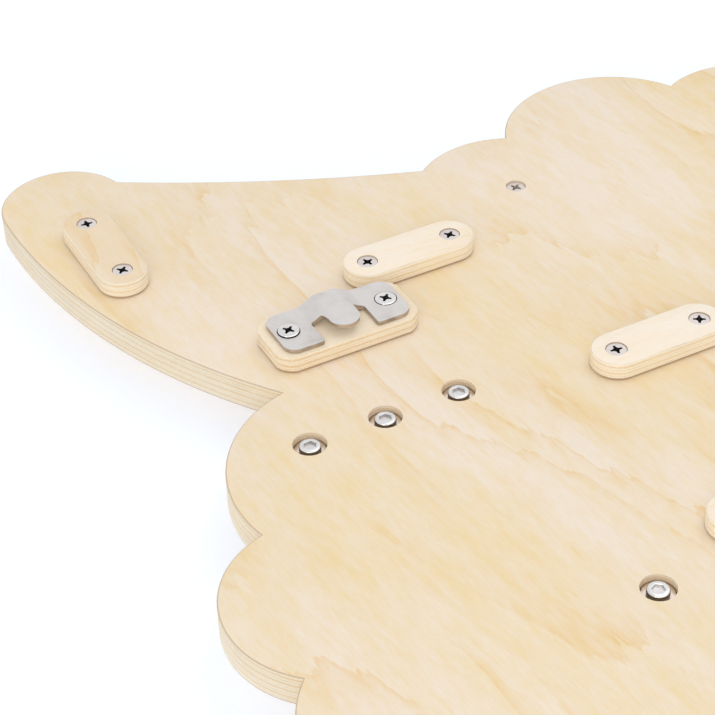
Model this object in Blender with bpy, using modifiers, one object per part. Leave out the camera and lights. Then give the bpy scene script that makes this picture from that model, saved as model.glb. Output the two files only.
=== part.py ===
# Busy board for a wall: a plywood panel sawn to a fluffy animal head with two ears.
# Round-ended blocks and two steel hangers are screwed to its back. Wooden discs and
# wheels are bolted to its front, and a forelock plate is screwed on from behind.
# The front faces -Y and the wall stands on the +Y side. The origin is on the board's
# middle line, level with the hanger screws, in the plane of the panel's back face.
# Lengths are in metres. Shares are parts of the size that they follow.

import math

import bmesh
import bpy
from mathutils import Matrix, Vector

# Gaps and fine sizes that the whole board shares
SEAT_GAP = 0.0003
CUT_OVERRUN = 0.002
OUTLINE_ERROR = 0.00025
COARSEST_ERROR_SHARE = 0.2
MERGE_DISTANCE = 0.00001

# Panel
BOARD_WIDTH = 0.520
BOARD_HEIGHT = 0.483
BOARD_THICKNESS = 0.012
BOARD_ARRIS = 0.0006

# Right half of the head, top to chin, in shares of the half width and the height,
# with the height of the arc that leads to each corner as a share of its chord
HEAD_SHARES = (
    (0.0, 0.2232, 0.0),
    (0.1554, 0.1708, 0.144),
    (0.3123, 0.1623, 0.148),
    (0.7323, 0.2756, -0.026),
    (0.9208, 0.2656, 0.440),
    (0.7404, -0.0416, 0.084),
    (0.8855, -0.1694, 0.212),
    (0.9486, -0.2990, 0.306),
    (0.8499, -0.4549, 0.317),
    (0.6481, -0.5578, 0.285),
    (0.4010, -0.6176, 0.272),
    (0.1414, -0.6442, 0.260),
    (0.0, -0.6853, 0.126),
)
QUARTER_ARC_SHARE = math.tan(math.pi / 8) / 2
HALF_ARC_SHARE = 0.5

# Round-ended blocks on the back, each with two countersunk screws
BLOCK_LENGTH = 0.053
BLOCK_WIDTH = 0.019
BLOCK_THICKNESS = 0.0065
BLOCK_ARRIS = 0.0005
BLOCK_SCREW_SPACING = 0.035
BLOCK_PLACES_SHARES = {
    "ear_block": (0.8265, 0.1751, "upright"),
    "upper_block": (0.4477, 0.0537, "level"),
    "middle_block": (0.2542, -0.1330, "level"),
    "lower_block": (0.3077, -0.3172, "level"),
}

# Countersunk wood screws
WOOD_SCREW_LENGTH = 0.016
WOOD_SCREW_HEAD_RADIUS = 0.0038
WOOD_SCREW_RIM = 0.0003
WOOD_SCREW_CONE = 0.002
WOOD_SCREW_SHANK_RADIUS = 0.002
WOOD_SCREW_POINT = 0.003
WOOD_SCREW_SINK = 0.0003
FORELOCK_SCREW_SINK = 0.0006
CROSS_WIDTH = 0.0010
CROSS_SPAN = 0.0044
CROSS_DEPTH = 0.0014

# Hanger pads and brackets
HANGER_PLACE_SHARE = 0.6146
PAD_WIDTH = 0.0565
PAD_HEIGHT = 0.026
PAD_CORNER_CUT = 0.0055
PAD_CORNER_SWELL_SHARE = 0.12
BRACKET_WIDTH = 0.0498
BRACKET_TOP = 0.0109
BRACKET_BOTTOM = 0.0113
BRACKET_THICKNESS = 0.0015
BRACKET_CORNER = 0.005
BRACKET_LEG_CORNER = 0.0012
BRACKET_LEG_GAP = 0.021
BRACKET_NOTCH_TOP = 0.0001
BRACKET_NOTCH_CORNER = 0.001
BRACKET_RISE = 0.0033
HUMP_FOOT = 0.0110
HUMP_FLAT = 0.0030
HUMP_STEPS = 6
TONGUE_WIDTH = 0.011
TONGUE_TIP = 0.0110
BRACKET_SCREW_EDGE = 0.0054
BRACKET_SCREW_STAND = 0.0004

# Bolts, washers and barrel nuts that carry the turning pieces
COUNTERBORE_RADIUS = 0.006
COUNTERBORE_DEPTH = 0.0040
BOLT_WEB = 0.003
BOLT_RADIUS = 0.002
BOLT_LENGTH = 0.010
BOLT_HEAD_RADIUS = 0.0038
BOLT_HEAD_HEIGHT = 0.0022
BUTTON_DOME_SHARES = ((0.84, 1.0), (0.95, 0.88), (1.0, 0.66), (1.0, 0.0))
HEX_RADIUS = 0.00225
HEX_DEPTH = 0.0010
WASHER_RADIUS = 0.0056
WASHER_THICKNESS = 0.0009
BARREL_RADIUS = 0.003
BARREL_HEAD_RADIUS = 0.0065
BARREL_HEAD_HEIGHT = 0.0018
BARREL_DOME_SHARES = ((0.72, 1.0), (1.0, 0.45), (1.0, 0.0))
BARREL_HEX_RADIUS = 0.0023
BARREL_HEX_DEPTH = 0.0012
BOSS_RADIUS = 0.006
BOSS_HEIGHT = 0.001
SPIN_PLAY = 0.0003

# Turned discs: a row of three small ones on the right, a large one on the left
DISC_DIAMETER = 0.026
DISC_GAP = 0.0029
DISC_THICKNESS = 0.010
DISC_ROUNDING = 0.0015
DISC_ROW_PLACE_SHARES = (0.6438, -0.1023)
DISC_NAMES = ("inner", "middle", "outer")
LARGE_DISC_DIAMETER = 0.062

# A scalloped wheel at each side, below the discs
WHEEL_RADIUS = 0.038
WHEEL_LOBE_DEPTH = 0.003
WHEEL_LOBES = 8
WHEEL_STEPS_PER_LOBE = 6
WHEEL_THICKNESS = 0.012
WHEEL_ARRIS = 0.0012
WHEEL_PLACE_SHARES = (0.5138, -0.3402)

# Forelock plate on the front, held by one screw from the back at each side
FORELOCK_WIDTH = 0.156
FORELOCK_HEIGHT = 0.104
FORELOCK_THICKNESS = 0.006
FORELOCK_ARRIS = 0.0008
FORELOCK_TOP = 0.098
FORELOCK_SCREW_SHARES = (0.7063, -0.4616)
FORELOCK_SHARES = (
    (0.0, 0.0, 0.0),
    (0.423, -0.212, 0.151),
    (1.0, -0.375, 0.160),
    (0.760, -0.712, 0.300),
    (0.285, -0.830, 0.300),
    (0.0, -1.0, 0.176),
)

# Faces round each turned piece
SCREW_STEPS = 12
SCREW_HOLE_STEPS = 12
BOLT_STEPS = 14
BOLT_HOLE_STEPS = 16
WASHER_STEPS = 14
BARREL_STEPS = 14
DISC_STEPS = 20
LARGE_DISC_STEPS = 32
SCREW_TURN = math.radians(137.5)

BACK = Matrix.Rotation(-math.pi / 2, 4, "X")
FRONT = Matrix.Rotation(math.pi / 2, 4, "X")
SIDES = (("right", 1), ("left", -1))


# Scene, collections and materials

def clear_scene():
    for old in list(bpy.data.objects):
        bpy.data.objects.remove(old, do_unlink=True)


def new_collection(name):
    collection = bpy.data.collections.new(name)
    bpy.context.scene.collection.children.link(collection)
    return collection


def finish_material(name, colour, roughness, metallic):
    material = bpy.data.materials.new(name)
    material.use_nodes = True
    shader = material.node_tree.nodes["Principled BSDF"]
    shader.inputs["Base Color"].default_value = (*colour, 1.0)
    shader.inputs["Roughness"].default_value = roughness
    shader.inputs["Metallic"].default_value = metallic
    return material


def plywood(name):
    return finish_material(name, (0.84, 0.71, 0.53), 0.55, 0.0)


def beech(name):
    return finish_material(name, (0.80, 0.60, 0.40), 0.45, 0.0)


def satin_steel(name):
    return finish_material(name, (0.60, 0.59, 0.57), 0.35, 1.0)


def bright_steel(name):
    return finish_material(name, (0.76, 0.76, 0.76), 0.20, 1.0)


# Tools that make meshes and objects

def mesh_object(name, mesh, collection, place=(0, 0, 0)):
    piece = bpy.data.objects.new(name, mesh)
    piece.location = place
    collection.objects.link(piece)
    return piece


def add_piece(name, mesh, material, place=(0, 0, 0), turn=0):
    """An object for one piece. Pieces that share a mesh still have a material each."""
    piece = mesh_object(name, mesh, PIECES, place)
    piece.rotation_euler.y = turn
    if not mesh.materials:
        mesh.materials.append(None)
        mesh.shade_smooth()
        mesh.set_sharp_from_angle(angle=math.radians(35))
    piece.material_slots[0].link = "OBJECT"
    piece.material_slots[0].material = material(name)
    return piece


def add_cutter(name, mesh):
    cutter = mesh_object(name, mesh, CUTTERS)
    cutter.hide_render = True
    cutter.display_type = "WIRE"
    return cutter


def tidy_mesh(mesh):
    shape = bmesh.new()
    shape.from_mesh(mesh)
    bmesh.ops.remove_doubles(shape, verts=shape.verts, dist=MERGE_DISTANCE)
    bmesh.ops.dissolve_degenerate(shape, edges=shape.edges, dist=MERGE_DISTANCE)
    shape.to_mesh(mesh)
    shape.free()


def settle(piece):
    """The piece's shape with its modifiers applied, as a mesh; the piece itself goes."""
    bpy.context.view_layer.update()
    evaluated = piece.evaluated_get(bpy.context.evaluated_depsgraph_get())
    mesh = bpy.data.meshes.new_from_object(evaluated)
    mesh.transform(piece.matrix_world)
    bpy.data.objects.remove(piece, do_unlink=True)
    tidy_mesh(mesh)
    return mesh


def cut(piece, cutter, operation="DIFFERENCE"):
    modifier = piece.modifiers.new(cutter.name, "BOOLEAN")
    modifier.operation = operation
    modifier.solver = "EXACT"
    modifier.object = cutter


def round_edges(piece, width, segments=1):
    modifier = piece.modifiers.new("rounding", "BEVEL")
    modifier.width = width
    modifier.segments = segments
    modifier.limit_method = "ANGLE"
    modifier.angle_limit = math.radians(60)


def turned_mesh(profile, steps, facing, closed=False):
    """A turned shape from (radius, height) corners that run down its outer side."""
    edges = [(i, i + 1) for i in range(len(profile) - 1)]
    if closed:
        edges.append((len(profile) - 1, 0))
    mesh = bpy.data.meshes.new("profile")
    mesh.from_pydata([(radius, 0, height) for radius, height in profile], edges, [])
    piece = mesh_object("profile", mesh, CUTTERS)
    screw = piece.modifiers.new("turn", "SCREW")
    screw.steps = steps
    screw.render_steps = steps
    screw.use_merge_vertices = True
    screw.merge_threshold = MERGE_DISTANCE
    turned = settle(piece)
    turned.transform(facing)
    return turned


def ring_mesh(inner_radius, outer_radius, thickness, steps, facing):
    profile = [(inner_radius, thickness), (outer_radius, thickness), (outer_radius, 0), (inner_radius, 0)]
    return turned_mesh(profile, steps, facing, closed=True)


def group_mesh(copies):
    """One mesh from many (mesh, matrix) copies, which stay separate solids."""
    shape = bmesh.new()
    for mesh, matrix in copies:
        copy = mesh.copy()
        copy.transform(matrix)
        shape.from_mesh(copy)
        bpy.data.meshes.remove(copy)
    merged = bpy.data.meshes.new("group")
    shape.to_mesh(merged)
    shape.free()
    return merged


def arc_run(start, end, swell, error):
    """Points from start up to end on an arc that stands out to the left by swell of its chord."""
    chord = end - start
    if not swell:
        return [start]
    rise = swell * chord.length
    radius = (chord.length_squared / 4 + rise * rise) / (2 * rise)
    outward = Vector((-chord.y, chord.x)).normalized()
    centre = (start + end) / 2 + outward * (rise - radius)
    turn = 4 * math.atan(2 * swell)
    step = 2 * math.acos(1 - min(error / abs(radius), COARSEST_ERROR_SHARE))
    count = 2 * math.ceil(abs(turn) / step / 2)
    spoke = start - centre
    return [centre + Matrix.Rotation(-turn * i / count, 2) @ spoke for i in range(count)]


def outline_points(corners, error):
    """A closed outline through (x, z, swell) corners, clockwise as the front is seen."""
    points = []
    for before, after in zip(corners, corners[1:] + corners[:1]):
        points += arc_run(Vector(before[:2]), Vector(after[:2]), after[2], error)
    return points


def mirrored_corners(right):
    """The corners of a symmetric outline from its right half, whose ends lie on the middle line."""
    swells = [corner[2] for corner in right[1:]]
    left = [(-x, z) for x, z, _ in reversed(right[1:-1])]
    returning = [(*place, swell) for place, swell in zip(left, reversed(swells))]
    top = (right[0][0], right[0][1], swells[0])
    return [top, *right[1:], *returning]


def round_ended_bar(length, width):
    """Corners of a level bar about the origin, with a half circle at each end."""
    end = (length - width) / 2
    side = width / 2
    return [(-end, side, HALF_ARC_SHARE), (end, side, 0), (end, -side, HALF_ARC_SHARE), (-end, -side, 0)]


def cut_cornered_rectangle(width, height, radius, swell):
    """Corners of a rectangle about the origin whose own corners are cut off by slightly round lines."""
    x = width / 2
    z = height / 2
    return [
        (-x + radius, z, swell), (x - radius, z, 0),
        (x, z - radius, swell), (x, -z + radius, 0),
        (x - radius, -z, swell), (-x + radius, -z, 0),
        (-x, -z + radius, swell), (-x, z - radius, 0),
    ]


def plate_mesh(points, thickness):
    """A flat plate of the given outline, standing upright and centred on the plane y = 0."""
    curve = bpy.data.curves.new("outline", "CURVE")
    curve.dimensions = "2D"
    curve.fill_mode = "BOTH"
    curve.extrude = thickness / 2
    spline = curve.splines.new("POLY")
    spline.points.add(len(points) - 1)
    spline.use_cyclic_u = True
    for target, point in zip(spline.points, points):
        target.co = (point.x, point.y, 0, 1)
    piece = bpy.data.objects.new("outline", curve)
    CUTTERS.objects.link(piece)
    mesh = settle(piece)
    bpy.data.curves.remove(curve)
    mesh.transform(FRONT)
    return mesh


# Places on the board

def board_place(shares, side):
    return Vector((side * shares[0] * BOARD_WIDTH / 2, 0, shares[1] * BOARD_HEIGHT))


def block_sites():
    """Each block's name, centre and the direction of its length."""
    sites = []
    for side_name, side in SIDES:
        for kind, (across, up, lie) in BLOCK_PLACES_SHARES.items():
            along = Vector((0, 0, 1)) if lie == "upright" else Vector((1, 0, 0))
            sites.append((kind + "_" + side_name, board_place((across, up), side), along))
    return sites


def hanger_sites():
    return [(name, Vector((side * HANGER_PLACE_SHARE * BOARD_WIDTH / 2, 0, 0))) for name, side in SIDES]


def small_disc_sites():
    pitch = DISC_DIAMETER + DISC_GAP
    row = (len(DISC_NAMES) - 1) * pitch
    first = board_place(DISC_ROW_PLACE_SHARES, 1) - Vector((row / 2, 0, 0))
    return [
        ("small_disc_" + name, first + Vector((index * pitch, 0, 0))) for index, name in enumerate(DISC_NAMES)
    ]


def large_disc_sites():
    return [("large_disc", board_place(DISC_ROW_PLACE_SHARES, -1))]


def wheel_sites():
    return [("scalloped_wheel_" + name, board_place(WHEEL_PLACE_SHARES, side)) for name, side in SIDES]


def turning_sites():
    """Each turning piece's name, place and thickness."""
    discs = [(*site, DISC_THICKNESS) for site in small_disc_sites() + large_disc_sites()]
    return discs + [(*site, WHEEL_THICKNESS) for site in wheel_sites()]


def forelock_place(shares, side):
    """A point of the forelock from its shares of the half width and, down from the top, of the height."""
    return Vector((side * shares[0] * FORELOCK_WIDTH / 2, 0, FORELOCK_TOP + shares[1] * FORELOCK_HEIGHT))


def forelock_screw_sites():
    return [("forelock_screw_" + name, forelock_place(FORELOCK_SCREW_SHARES, side)) for name, side in SIDES]


def at_depth(place, height):
    """A place on the board, moved to a height above the panel's back face."""
    return Vector((place.x, height, place.z))


BLOCK_BACK = SEAT_GAP + BLOCK_THICKNESS
BRACKET_SEAT = BLOCK_BACK + SEAT_GAP
BRACKET_BACK = BRACKET_SEAT + BRACKET_THICKNESS
PANEL_FRONT = -BOARD_THICKNESS
TURNING_BACK = PANEL_FRONT - SPIN_PLAY - BOSS_HEIGHT
WASHER_FLOOR = -COUNTERBORE_DEPTH + SEAT_GAP
BOLT_SEAT = WASHER_FLOOR + WASHER_THICKNESS + SEAT_GAP
WEB_FRONT = -COUNTERBORE_DEPTH - BOLT_WEB
BARREL_END = WEB_FRONT - SEAT_GAP
BARREL_RECESS = BARREL_HEAD_HEIGHT + SPIN_PLAY


def block_screw_sites():
    half = BLOCK_SCREW_SPACING / 2
    return [
        (name + "_screw_" + str(number), place + along * end * half)
        for name, place, along in block_sites()
        for number, end in ((1, -1), (2, 1))
    ]


def hanger_screw_sites():
    half = BRACKET_WIDTH / 2 - BRACKET_SCREW_EDGE
    return [
        ("hanger_screw_" + name + "_" + str(number), place + Vector((end * half, 0, 0)))
        for name, place in hanger_sites()
        for number, end in ((1, -1), (2, 1))
    ]


# Cutters for the screw holes and the bolts' stepped holes

def countersunk_profile(gap, top):
    shank = WOOD_SCREW_SHANK_RADIUS + gap
    head = WOOD_SCREW_HEAD_RADIUS + gap
    return [(0, top), (head, top), (head, -WOOD_SCREW_RIM), (shank, -WOOD_SCREW_RIM - WOOD_SCREW_CONE)]


def wood_screw_hole_mesh():
    shank = WOOD_SCREW_SHANK_RADIUS + SEAT_GAP
    end = -WOOD_SCREW_LENGTH - SEAT_GAP
    profile = countersunk_profile(SEAT_GAP, CUT_OVERRUN) + [(shank, end), (0, end)]
    return turned_mesh(profile, SCREW_HOLE_STEPS, BACK)


def hole_group(name, hole, sites, height):
    places = [Matrix.Translation(at_depth(site[1], height)) for site in sites]
    return add_cutter(name, group_mesh([(hole, place) for place in places]))


def make_wood_screw_cutters():
    hole = wood_screw_hole_mesh()
    return (
        hole_group("block_screw_holes", hole, block_screw_sites(), BLOCK_BACK - WOOD_SCREW_SINK),
        hole_group("forelock_screw_holes", hole, forelock_screw_sites(), -FORELOCK_SCREW_SINK),
        hole_group("hanger_screw_holes", hole, hanger_screw_sites(), BRACKET_BACK + BRACKET_SCREW_STAND),
    )


def make_bolt_hole_cutter():
    web_radius = BOLT_RADIUS + SEAT_GAP
    barrel_radius = BARREL_RADIUS + SEAT_GAP
    front = PANEL_FRONT - CUT_OVERRUN
    profile = [
        (0, CUT_OVERRUN), (COUNTERBORE_RADIUS, CUT_OVERRUN), (COUNTERBORE_RADIUS, -COUNTERBORE_DEPTH),
        (web_radius, -COUNTERBORE_DEPTH), (web_radius, WEB_FRONT), (barrel_radius, WEB_FRONT),
        (barrel_radius, front), (0, front),
    ]
    return hole_group("bolt_holes", turned_mesh(profile, BOLT_HOLE_STEPS, BACK), turning_sites(), 0)


# Wooden pieces that stay still

def make_panel(cutters):
    right = [(x * BOARD_WIDTH / 2, z * BOARD_HEIGHT, swell) for x, z, swell in HEAD_SHARES]
    points = outline_points(mirrored_corners(right), OUTLINE_ERROR)
    mesh = plate_mesh(points, BOARD_THICKNESS)
    panel = add_piece("board_panel", mesh, plywood, (0, PANEL_FRONT / 2, 0))
    round_edges(panel, BOARD_ARRIS)
    for cutter in cutters:
        cut(panel, cutter)


def make_blocks(screw_holes):
    outline = outline_points(round_ended_bar(BLOCK_LENGTH, BLOCK_WIDTH), OUTLINE_ERROR)
    for name, place, along in block_sites():
        mesh = plate_mesh(outline, BLOCK_THICKNESS)
        turn = math.pi / 2 if along.z else 0
        block = add_piece(name, mesh, plywood, at_depth(place, BLOCK_BACK - BLOCK_THICKNESS / 2), turn)
        round_edges(block, BLOCK_ARRIS)
        cut(block, screw_holes)


def make_hanger_pads(screw_holes):
    corners = cut_cornered_rectangle(PAD_WIDTH, PAD_HEIGHT, PAD_CORNER_CUT, PAD_CORNER_SWELL_SHARE)
    outline = outline_points(corners, OUTLINE_ERROR)
    for side_name, place in hanger_sites():
        mesh = plate_mesh(outline, BLOCK_THICKNESS)
        centre = at_depth(place, BLOCK_BACK - BLOCK_THICKNESS / 2)
        pad = add_piece("hanger_pad_" + side_name, mesh, plywood, centre)
        round_edges(pad, BLOCK_ARRIS)
        cut(pad, screw_holes)


def make_forelock(screw_holes):
    places = [forelock_place(corner, 1) for corner in FORELOCK_SHARES]
    right = [(place.x, place.z, corner[2]) for place, corner in zip(places, FORELOCK_SHARES)]
    mesh = plate_mesh(outline_points(mirrored_corners(right), OUTLINE_ERROR), FORELOCK_THICKNESS)
    middle = PANEL_FRONT - SEAT_GAP - FORELOCK_THICKNESS / 2
    plate = add_piece("forelock_plate", mesh, plywood, (0, middle, 0))
    round_edges(plate, FORELOCK_ARRIS)
    cut(plate, screw_holes)


# Steel hangers

def bracket_outline():
    half = BRACKET_WIDTH / 2
    leg = BRACKET_LEG_GAP / 2
    tongue = TONGUE_WIDTH / 2
    notch_side = BRACKET_NOTCH_TOP - BRACKET_NOTCH_CORNER
    right = [
        (0, BRACKET_TOP, 0),
        (half - BRACKET_CORNER, BRACKET_TOP, 0),
        (half, BRACKET_TOP - BRACKET_CORNER, QUARTER_ARC_SHARE),
        (half, -BRACKET_BOTTOM + BRACKET_CORNER, 0),
        (half - BRACKET_CORNER, -BRACKET_BOTTOM, QUARTER_ARC_SHARE),
        (leg + BRACKET_LEG_CORNER, -BRACKET_BOTTOM, 0),
        (leg, -BRACKET_BOTTOM + BRACKET_LEG_CORNER, QUARTER_ARC_SHARE),
        (leg, notch_side, 0),
        (leg - BRACKET_NOTCH_CORNER, BRACKET_NOTCH_TOP, -QUARTER_ARC_SHARE),
        (tongue + BRACKET_NOTCH_CORNER, BRACKET_NOTCH_TOP, 0),
        (tongue, notch_side, -QUARTER_ARC_SHARE),
        (tongue, -TONGUE_TIP + tongue, 0),
        (0, -TONGUE_TIP, QUARTER_ARC_SHARE),
    ]
    return outline_points(mirrored_corners(right), OUTLINE_ERROR / 2)


def hump_height(x):
    """How far the bracket's steel stands up at a distance x from its middle line."""
    slope = (HUMP_FOOT - abs(x)) / (HUMP_FOOT - HUMP_FLAT)
    slope = min(max(slope, 0), 1)
    return BRACKET_RISE * slope * slope * (3 - 2 * slope)


def bent_strip_mesh():
    """A strip bent up over the hump, longer and taller than the bracket that is cut from it."""
    half = BRACKET_WIDTH / 2 + CUT_OVERRUN
    slope = [HUMP_FLAT + (HUMP_FOOT - HUMP_FLAT) * i / HUMP_STEPS for i in range(HUMP_STEPS + 1)]
    across = [-half] + [-x for x in reversed(slope)] + slope + [half]
    strip = bmesh.new()
    foot = [strip.verts.new((x, hump_height(x), -BRACKET_BOTTOM - CUT_OVERRUN)) for x in across]
    edges = [strip.edges.new(pair) for pair in zip(foot, foot[1:])]
    lifted = bmesh.ops.extrude_edge_only(strip, edges=edges)["geom"]
    height = BRACKET_TOP + BRACKET_BOTTOM + 2 * CUT_OVERRUN
    corners = [part for part in lifted if isinstance(part, bmesh.types.BMVert)]
    bmesh.ops.translate(strip, verts=corners, vec=(0, 0, height))
    strip.normal_update()
    strip.faces.ensure_lookup_table()
    if strip.faces[0].normal.y < 0:
        bmesh.ops.reverse_faces(strip, faces=strip.faces)
    mesh = bpy.data.meshes.new("strip")
    strip.to_mesh(mesh)
    strip.free()
    return mesh


def make_brackets(screw_holes):
    depth = 2 * (BRACKET_THICKNESS + BRACKET_RISE + CUT_OVERRUN)
    for side_name, place in hanger_sites():
        seat = at_depth(place, BRACKET_SEAT)
        mesh = bent_strip_mesh()
        bracket = add_piece("hanger_bracket_" + side_name, mesh, satin_steel, seat)
        gauge = bracket.modifiers.new("gauge", "SOLIDIFY")
        gauge.thickness = BRACKET_THICKNESS
        gauge.offset = 1
        gauge.use_even_offset = True
        blank = add_cutter("bracket_blank_" + side_name, plate_mesh(bracket_outline(), depth))
        blank.location = seat
        cut(bracket, blank, "INTERSECT")
        cut(bracket, screw_holes)


# Screws, bolts and washers

def cross_recessed(mesh):
    """A screw mesh with a cross cut into its head."""
    screw = mesh_object("screw", mesh, CUTTERS)
    bars = []
    for turn in (0, math.pi / 2):
        bar = bmesh.new()
        bmesh.ops.create_cube(bar, size=1)
        bar_mesh = bpy.data.meshes.new("bar")
        bar.to_mesh(bar_mesh)
        bar.free()
        scale = Matrix.Diagonal((CROSS_SPAN, 2 * CROSS_DEPTH, CROSS_WIDTH, 1))
        bar_mesh.transform(Matrix.Rotation(turn, 4, "Y") @ scale)
        bars.append(mesh_object("bar", bar_mesh, CUTTERS))
    for bar in bars:
        cut(screw, bar)
    recessed = settle(screw)
    for bar in bars:
        bpy.data.objects.remove(bar, do_unlink=True)
    return recessed


def hex_recessed(mesh, top, radius, depth, facing):
    """A bolt or nut mesh with a six-sided socket cut into its head."""
    piece = mesh_object("piece", mesh, CUTTERS)
    socket = bmesh.new()
    bmesh.ops.create_cone(
        socket, cap_ends=True, segments=6, radius1=radius, radius2=radius, depth=2 * depth
    )
    socket_mesh = bpy.data.meshes.new("socket")
    socket.to_mesh(socket_mesh)
    socket.free()
    socket_mesh.transform(facing @ Matrix.Translation((0, 0, top)))
    cutter = mesh_object("socket", socket_mesh, CUTTERS)
    cut(piece, cutter)
    recessed = settle(piece)
    bpy.data.objects.remove(cutter, do_unlink=True)
    return recessed


def wood_screw_mesh():
    shank = WOOD_SCREW_SHANK_RADIUS
    profile = countersunk_profile(0, 0)
    profile += [(shank, -WOOD_SCREW_LENGTH + WOOD_SCREW_POINT), (0, -WOOD_SCREW_LENGTH)]
    return cross_recessed(turned_mesh(profile, SCREW_STEPS, BACK))


def make_screws():
    """The screws of the blocks, the forelock and the hangers, each turned its own way."""
    mesh = wood_screw_mesh()
    screws = [(site, BLOCK_BACK - WOOD_SCREW_SINK) for site in block_screw_sites()]
    screws += [(site, -FORELOCK_SCREW_SINK) for site in forelock_screw_sites()]
    screws += [(site, BRACKET_BACK + BRACKET_SCREW_STAND) for site in hanger_screw_sites()]
    for index, ((name, place), height) in enumerate(screws):
        add_piece(name, mesh, bright_steel, at_depth(place, height), index * SCREW_TURN)


def bolt_mesh():
    dome = [(across * BOLT_HEAD_RADIUS, up * BOLT_HEAD_HEIGHT) for across, up in BUTTON_DOME_SHARES]
    shank = [(BOLT_RADIUS, 0), (BOLT_RADIUS, -BOLT_LENGTH), (0, -BOLT_LENGTH)]
    mesh = turned_mesh([(0, BOLT_HEAD_HEIGHT), *dome, *shank], BOLT_STEPS, BACK)
    return hex_recessed(mesh, BOLT_HEAD_HEIGHT, HEX_RADIUS, HEX_DEPTH, BACK)


def head_seat(turning_thickness):
    """Where the underside of a barrel nut's head lies, in front of a turning piece's recess floor."""
    return TURNING_BACK - turning_thickness + BARREL_RECESS - SPIN_PLAY


def barrel_nut_mesh(turning_thickness):
    length = BARREL_END - head_seat(turning_thickness)
    bore_radius = BOLT_RADIUS + SEAT_GAP
    bolt_tip = BOLT_SEAT - BOLT_LENGTH
    bore_end = -length + (BARREL_END - bolt_tip) + SEAT_GAP
    dome = [(across * BARREL_HEAD_RADIUS, up * BARREL_HEAD_HEIGHT) for across, up in BARREL_DOME_SHARES]
    profile = [
        (0, BARREL_HEAD_HEIGHT), *dome, (BARREL_RADIUS, 0), (BARREL_RADIUS, -length),
        (bore_radius, -length), (bore_radius, bore_end), (0, bore_end),
    ]
    mesh = turned_mesh(profile, BARREL_STEPS, FRONT)
    return hex_recessed(mesh, BARREL_HEAD_HEIGHT, BARREL_HEX_RADIUS, BARREL_HEX_DEPTH, FRONT)


def make_bolts_washers_and_nuts():
    bolt = bolt_mesh()
    washer = ring_mesh(BOLT_RADIUS + SEAT_GAP, WASHER_RADIUS, WASHER_THICKNESS, WASHER_STEPS, BACK)
    nuts = {thickness: barrel_nut_mesh(thickness) for thickness in (DISC_THICKNESS, WHEEL_THICKNESS)}
    for index, (name, place, thickness) in enumerate(turning_sites()):
        turn = index * SCREW_TURN
        add_piece("bolt_" + name, bolt, bright_steel, at_depth(place, BOLT_SEAT), turn)
        add_piece("washer_" + name, washer, bright_steel, at_depth(place, WASHER_FLOOR))
        add_piece("nut_" + name, nuts[thickness], bright_steel, at_depth(place, head_seat(thickness)), turn)


# Turning pieces, each with its origin on its own axle

def disc_profile(radius):
    bore = BARREL_RADIUS + SPIN_PLAY
    recess = BARREL_HEAD_RADIUS + SPIN_PLAY
    floor = DISC_THICKNESS - BARREL_RECESS
    soft = DISC_ROUNDING
    shoulder = soft * (1 - math.cos(math.pi / 4))
    return [
        (bore, floor), (recess, floor), (recess, DISC_THICKNESS),
        (radius - soft, DISC_THICKNESS), (radius - shoulder, DISC_THICKNESS - shoulder),
        (radius, DISC_THICKNESS - soft), (radius, soft), (radius - shoulder, shoulder), (radius - soft, 0),
        (BOSS_RADIUS, 0), (BOSS_RADIUS, -BOSS_HEIGHT), (bore, -BOSS_HEIGHT),
    ]


def make_discs():
    small = turned_mesh(disc_profile(DISC_DIAMETER / 2), DISC_STEPS, FRONT, closed=True)
    large = turned_mesh(disc_profile(LARGE_DISC_DIAMETER / 2), LARGE_DISC_STEPS, FRONT, closed=True)
    for name, place in small_disc_sites():
        add_piece(name, small, beech, at_depth(place, TURNING_BACK))
    for name, place in large_disc_sites():
        add_piece(name, large, beech, at_depth(place, TURNING_BACK))


def wheel_outline():
    count = WHEEL_LOBES * WHEEL_STEPS_PER_LOBE
    points = []
    for index in range(count):
        angle = -2 * math.pi * index / count
        swing = abs(math.cos(angle * WHEEL_LOBES / 2))
        radius = WHEEL_RADIUS - WHEEL_LOBE_DEPTH * (1 - swing)
        points.append(Vector((math.cos(angle), math.sin(angle))) * radius)
    return points


def make_wheels():
    bore = BARREL_RADIUS + SPIN_PLAY
    recess = BARREL_HEAD_RADIUS + SPIN_PLAY
    middle = WHEEL_THICKNESS / 2
    floor = middle - BARREL_RECESS
    front = middle + CUT_OVERRUN
    boss_end = -middle - BOSS_HEIGHT
    hole = [(0, front), (recess, front), (recess, floor), (bore, floor), (bore, -front), (0, -front)]
    boss = [(0, floor - middle), (BOSS_RADIUS, floor - middle), (BOSS_RADIUS, boss_end), (0, boss_end)]
    for name, place in wheel_sites():
        centre = at_depth(place, TURNING_BACK - middle)
        hub = add_cutter("hub_" + name, turned_mesh(boss, WASHER_STEPS, FRONT))
        bored = add_cutter("bore_" + name, turned_mesh(hole, BOLT_HOLE_STEPS, FRONT))
        hub.location = centre
        bored.location = centre
        wheel = add_piece(name, plate_mesh(wheel_outline(), WHEEL_THICKNESS), plywood, centre)
        round_edges(wheel, WHEEL_ARRIS, segments=2)
        cut(wheel, hub, "UNION")
        cut(wheel, bored)


clear_scene()
PIECES = new_collection("busy_board")
CUTTERS = new_collection("cutters")

block_screw_holes, forelock_screw_holes, hanger_screw_holes = make_wood_screw_cutters()
bolt_holes = make_bolt_hole_cutter()

make_panel((block_screw_holes, forelock_screw_holes, hanger_screw_holes, bolt_holes))
make_blocks(block_screw_holes)
make_hanger_pads(hanger_screw_holes)
make_brackets(hanger_screw_holes)
make_forelock(forelock_screw_holes)
make_screws()
make_bolts_washers_and_nuts()
make_discs()
make_wheels()
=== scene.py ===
import math

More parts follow.
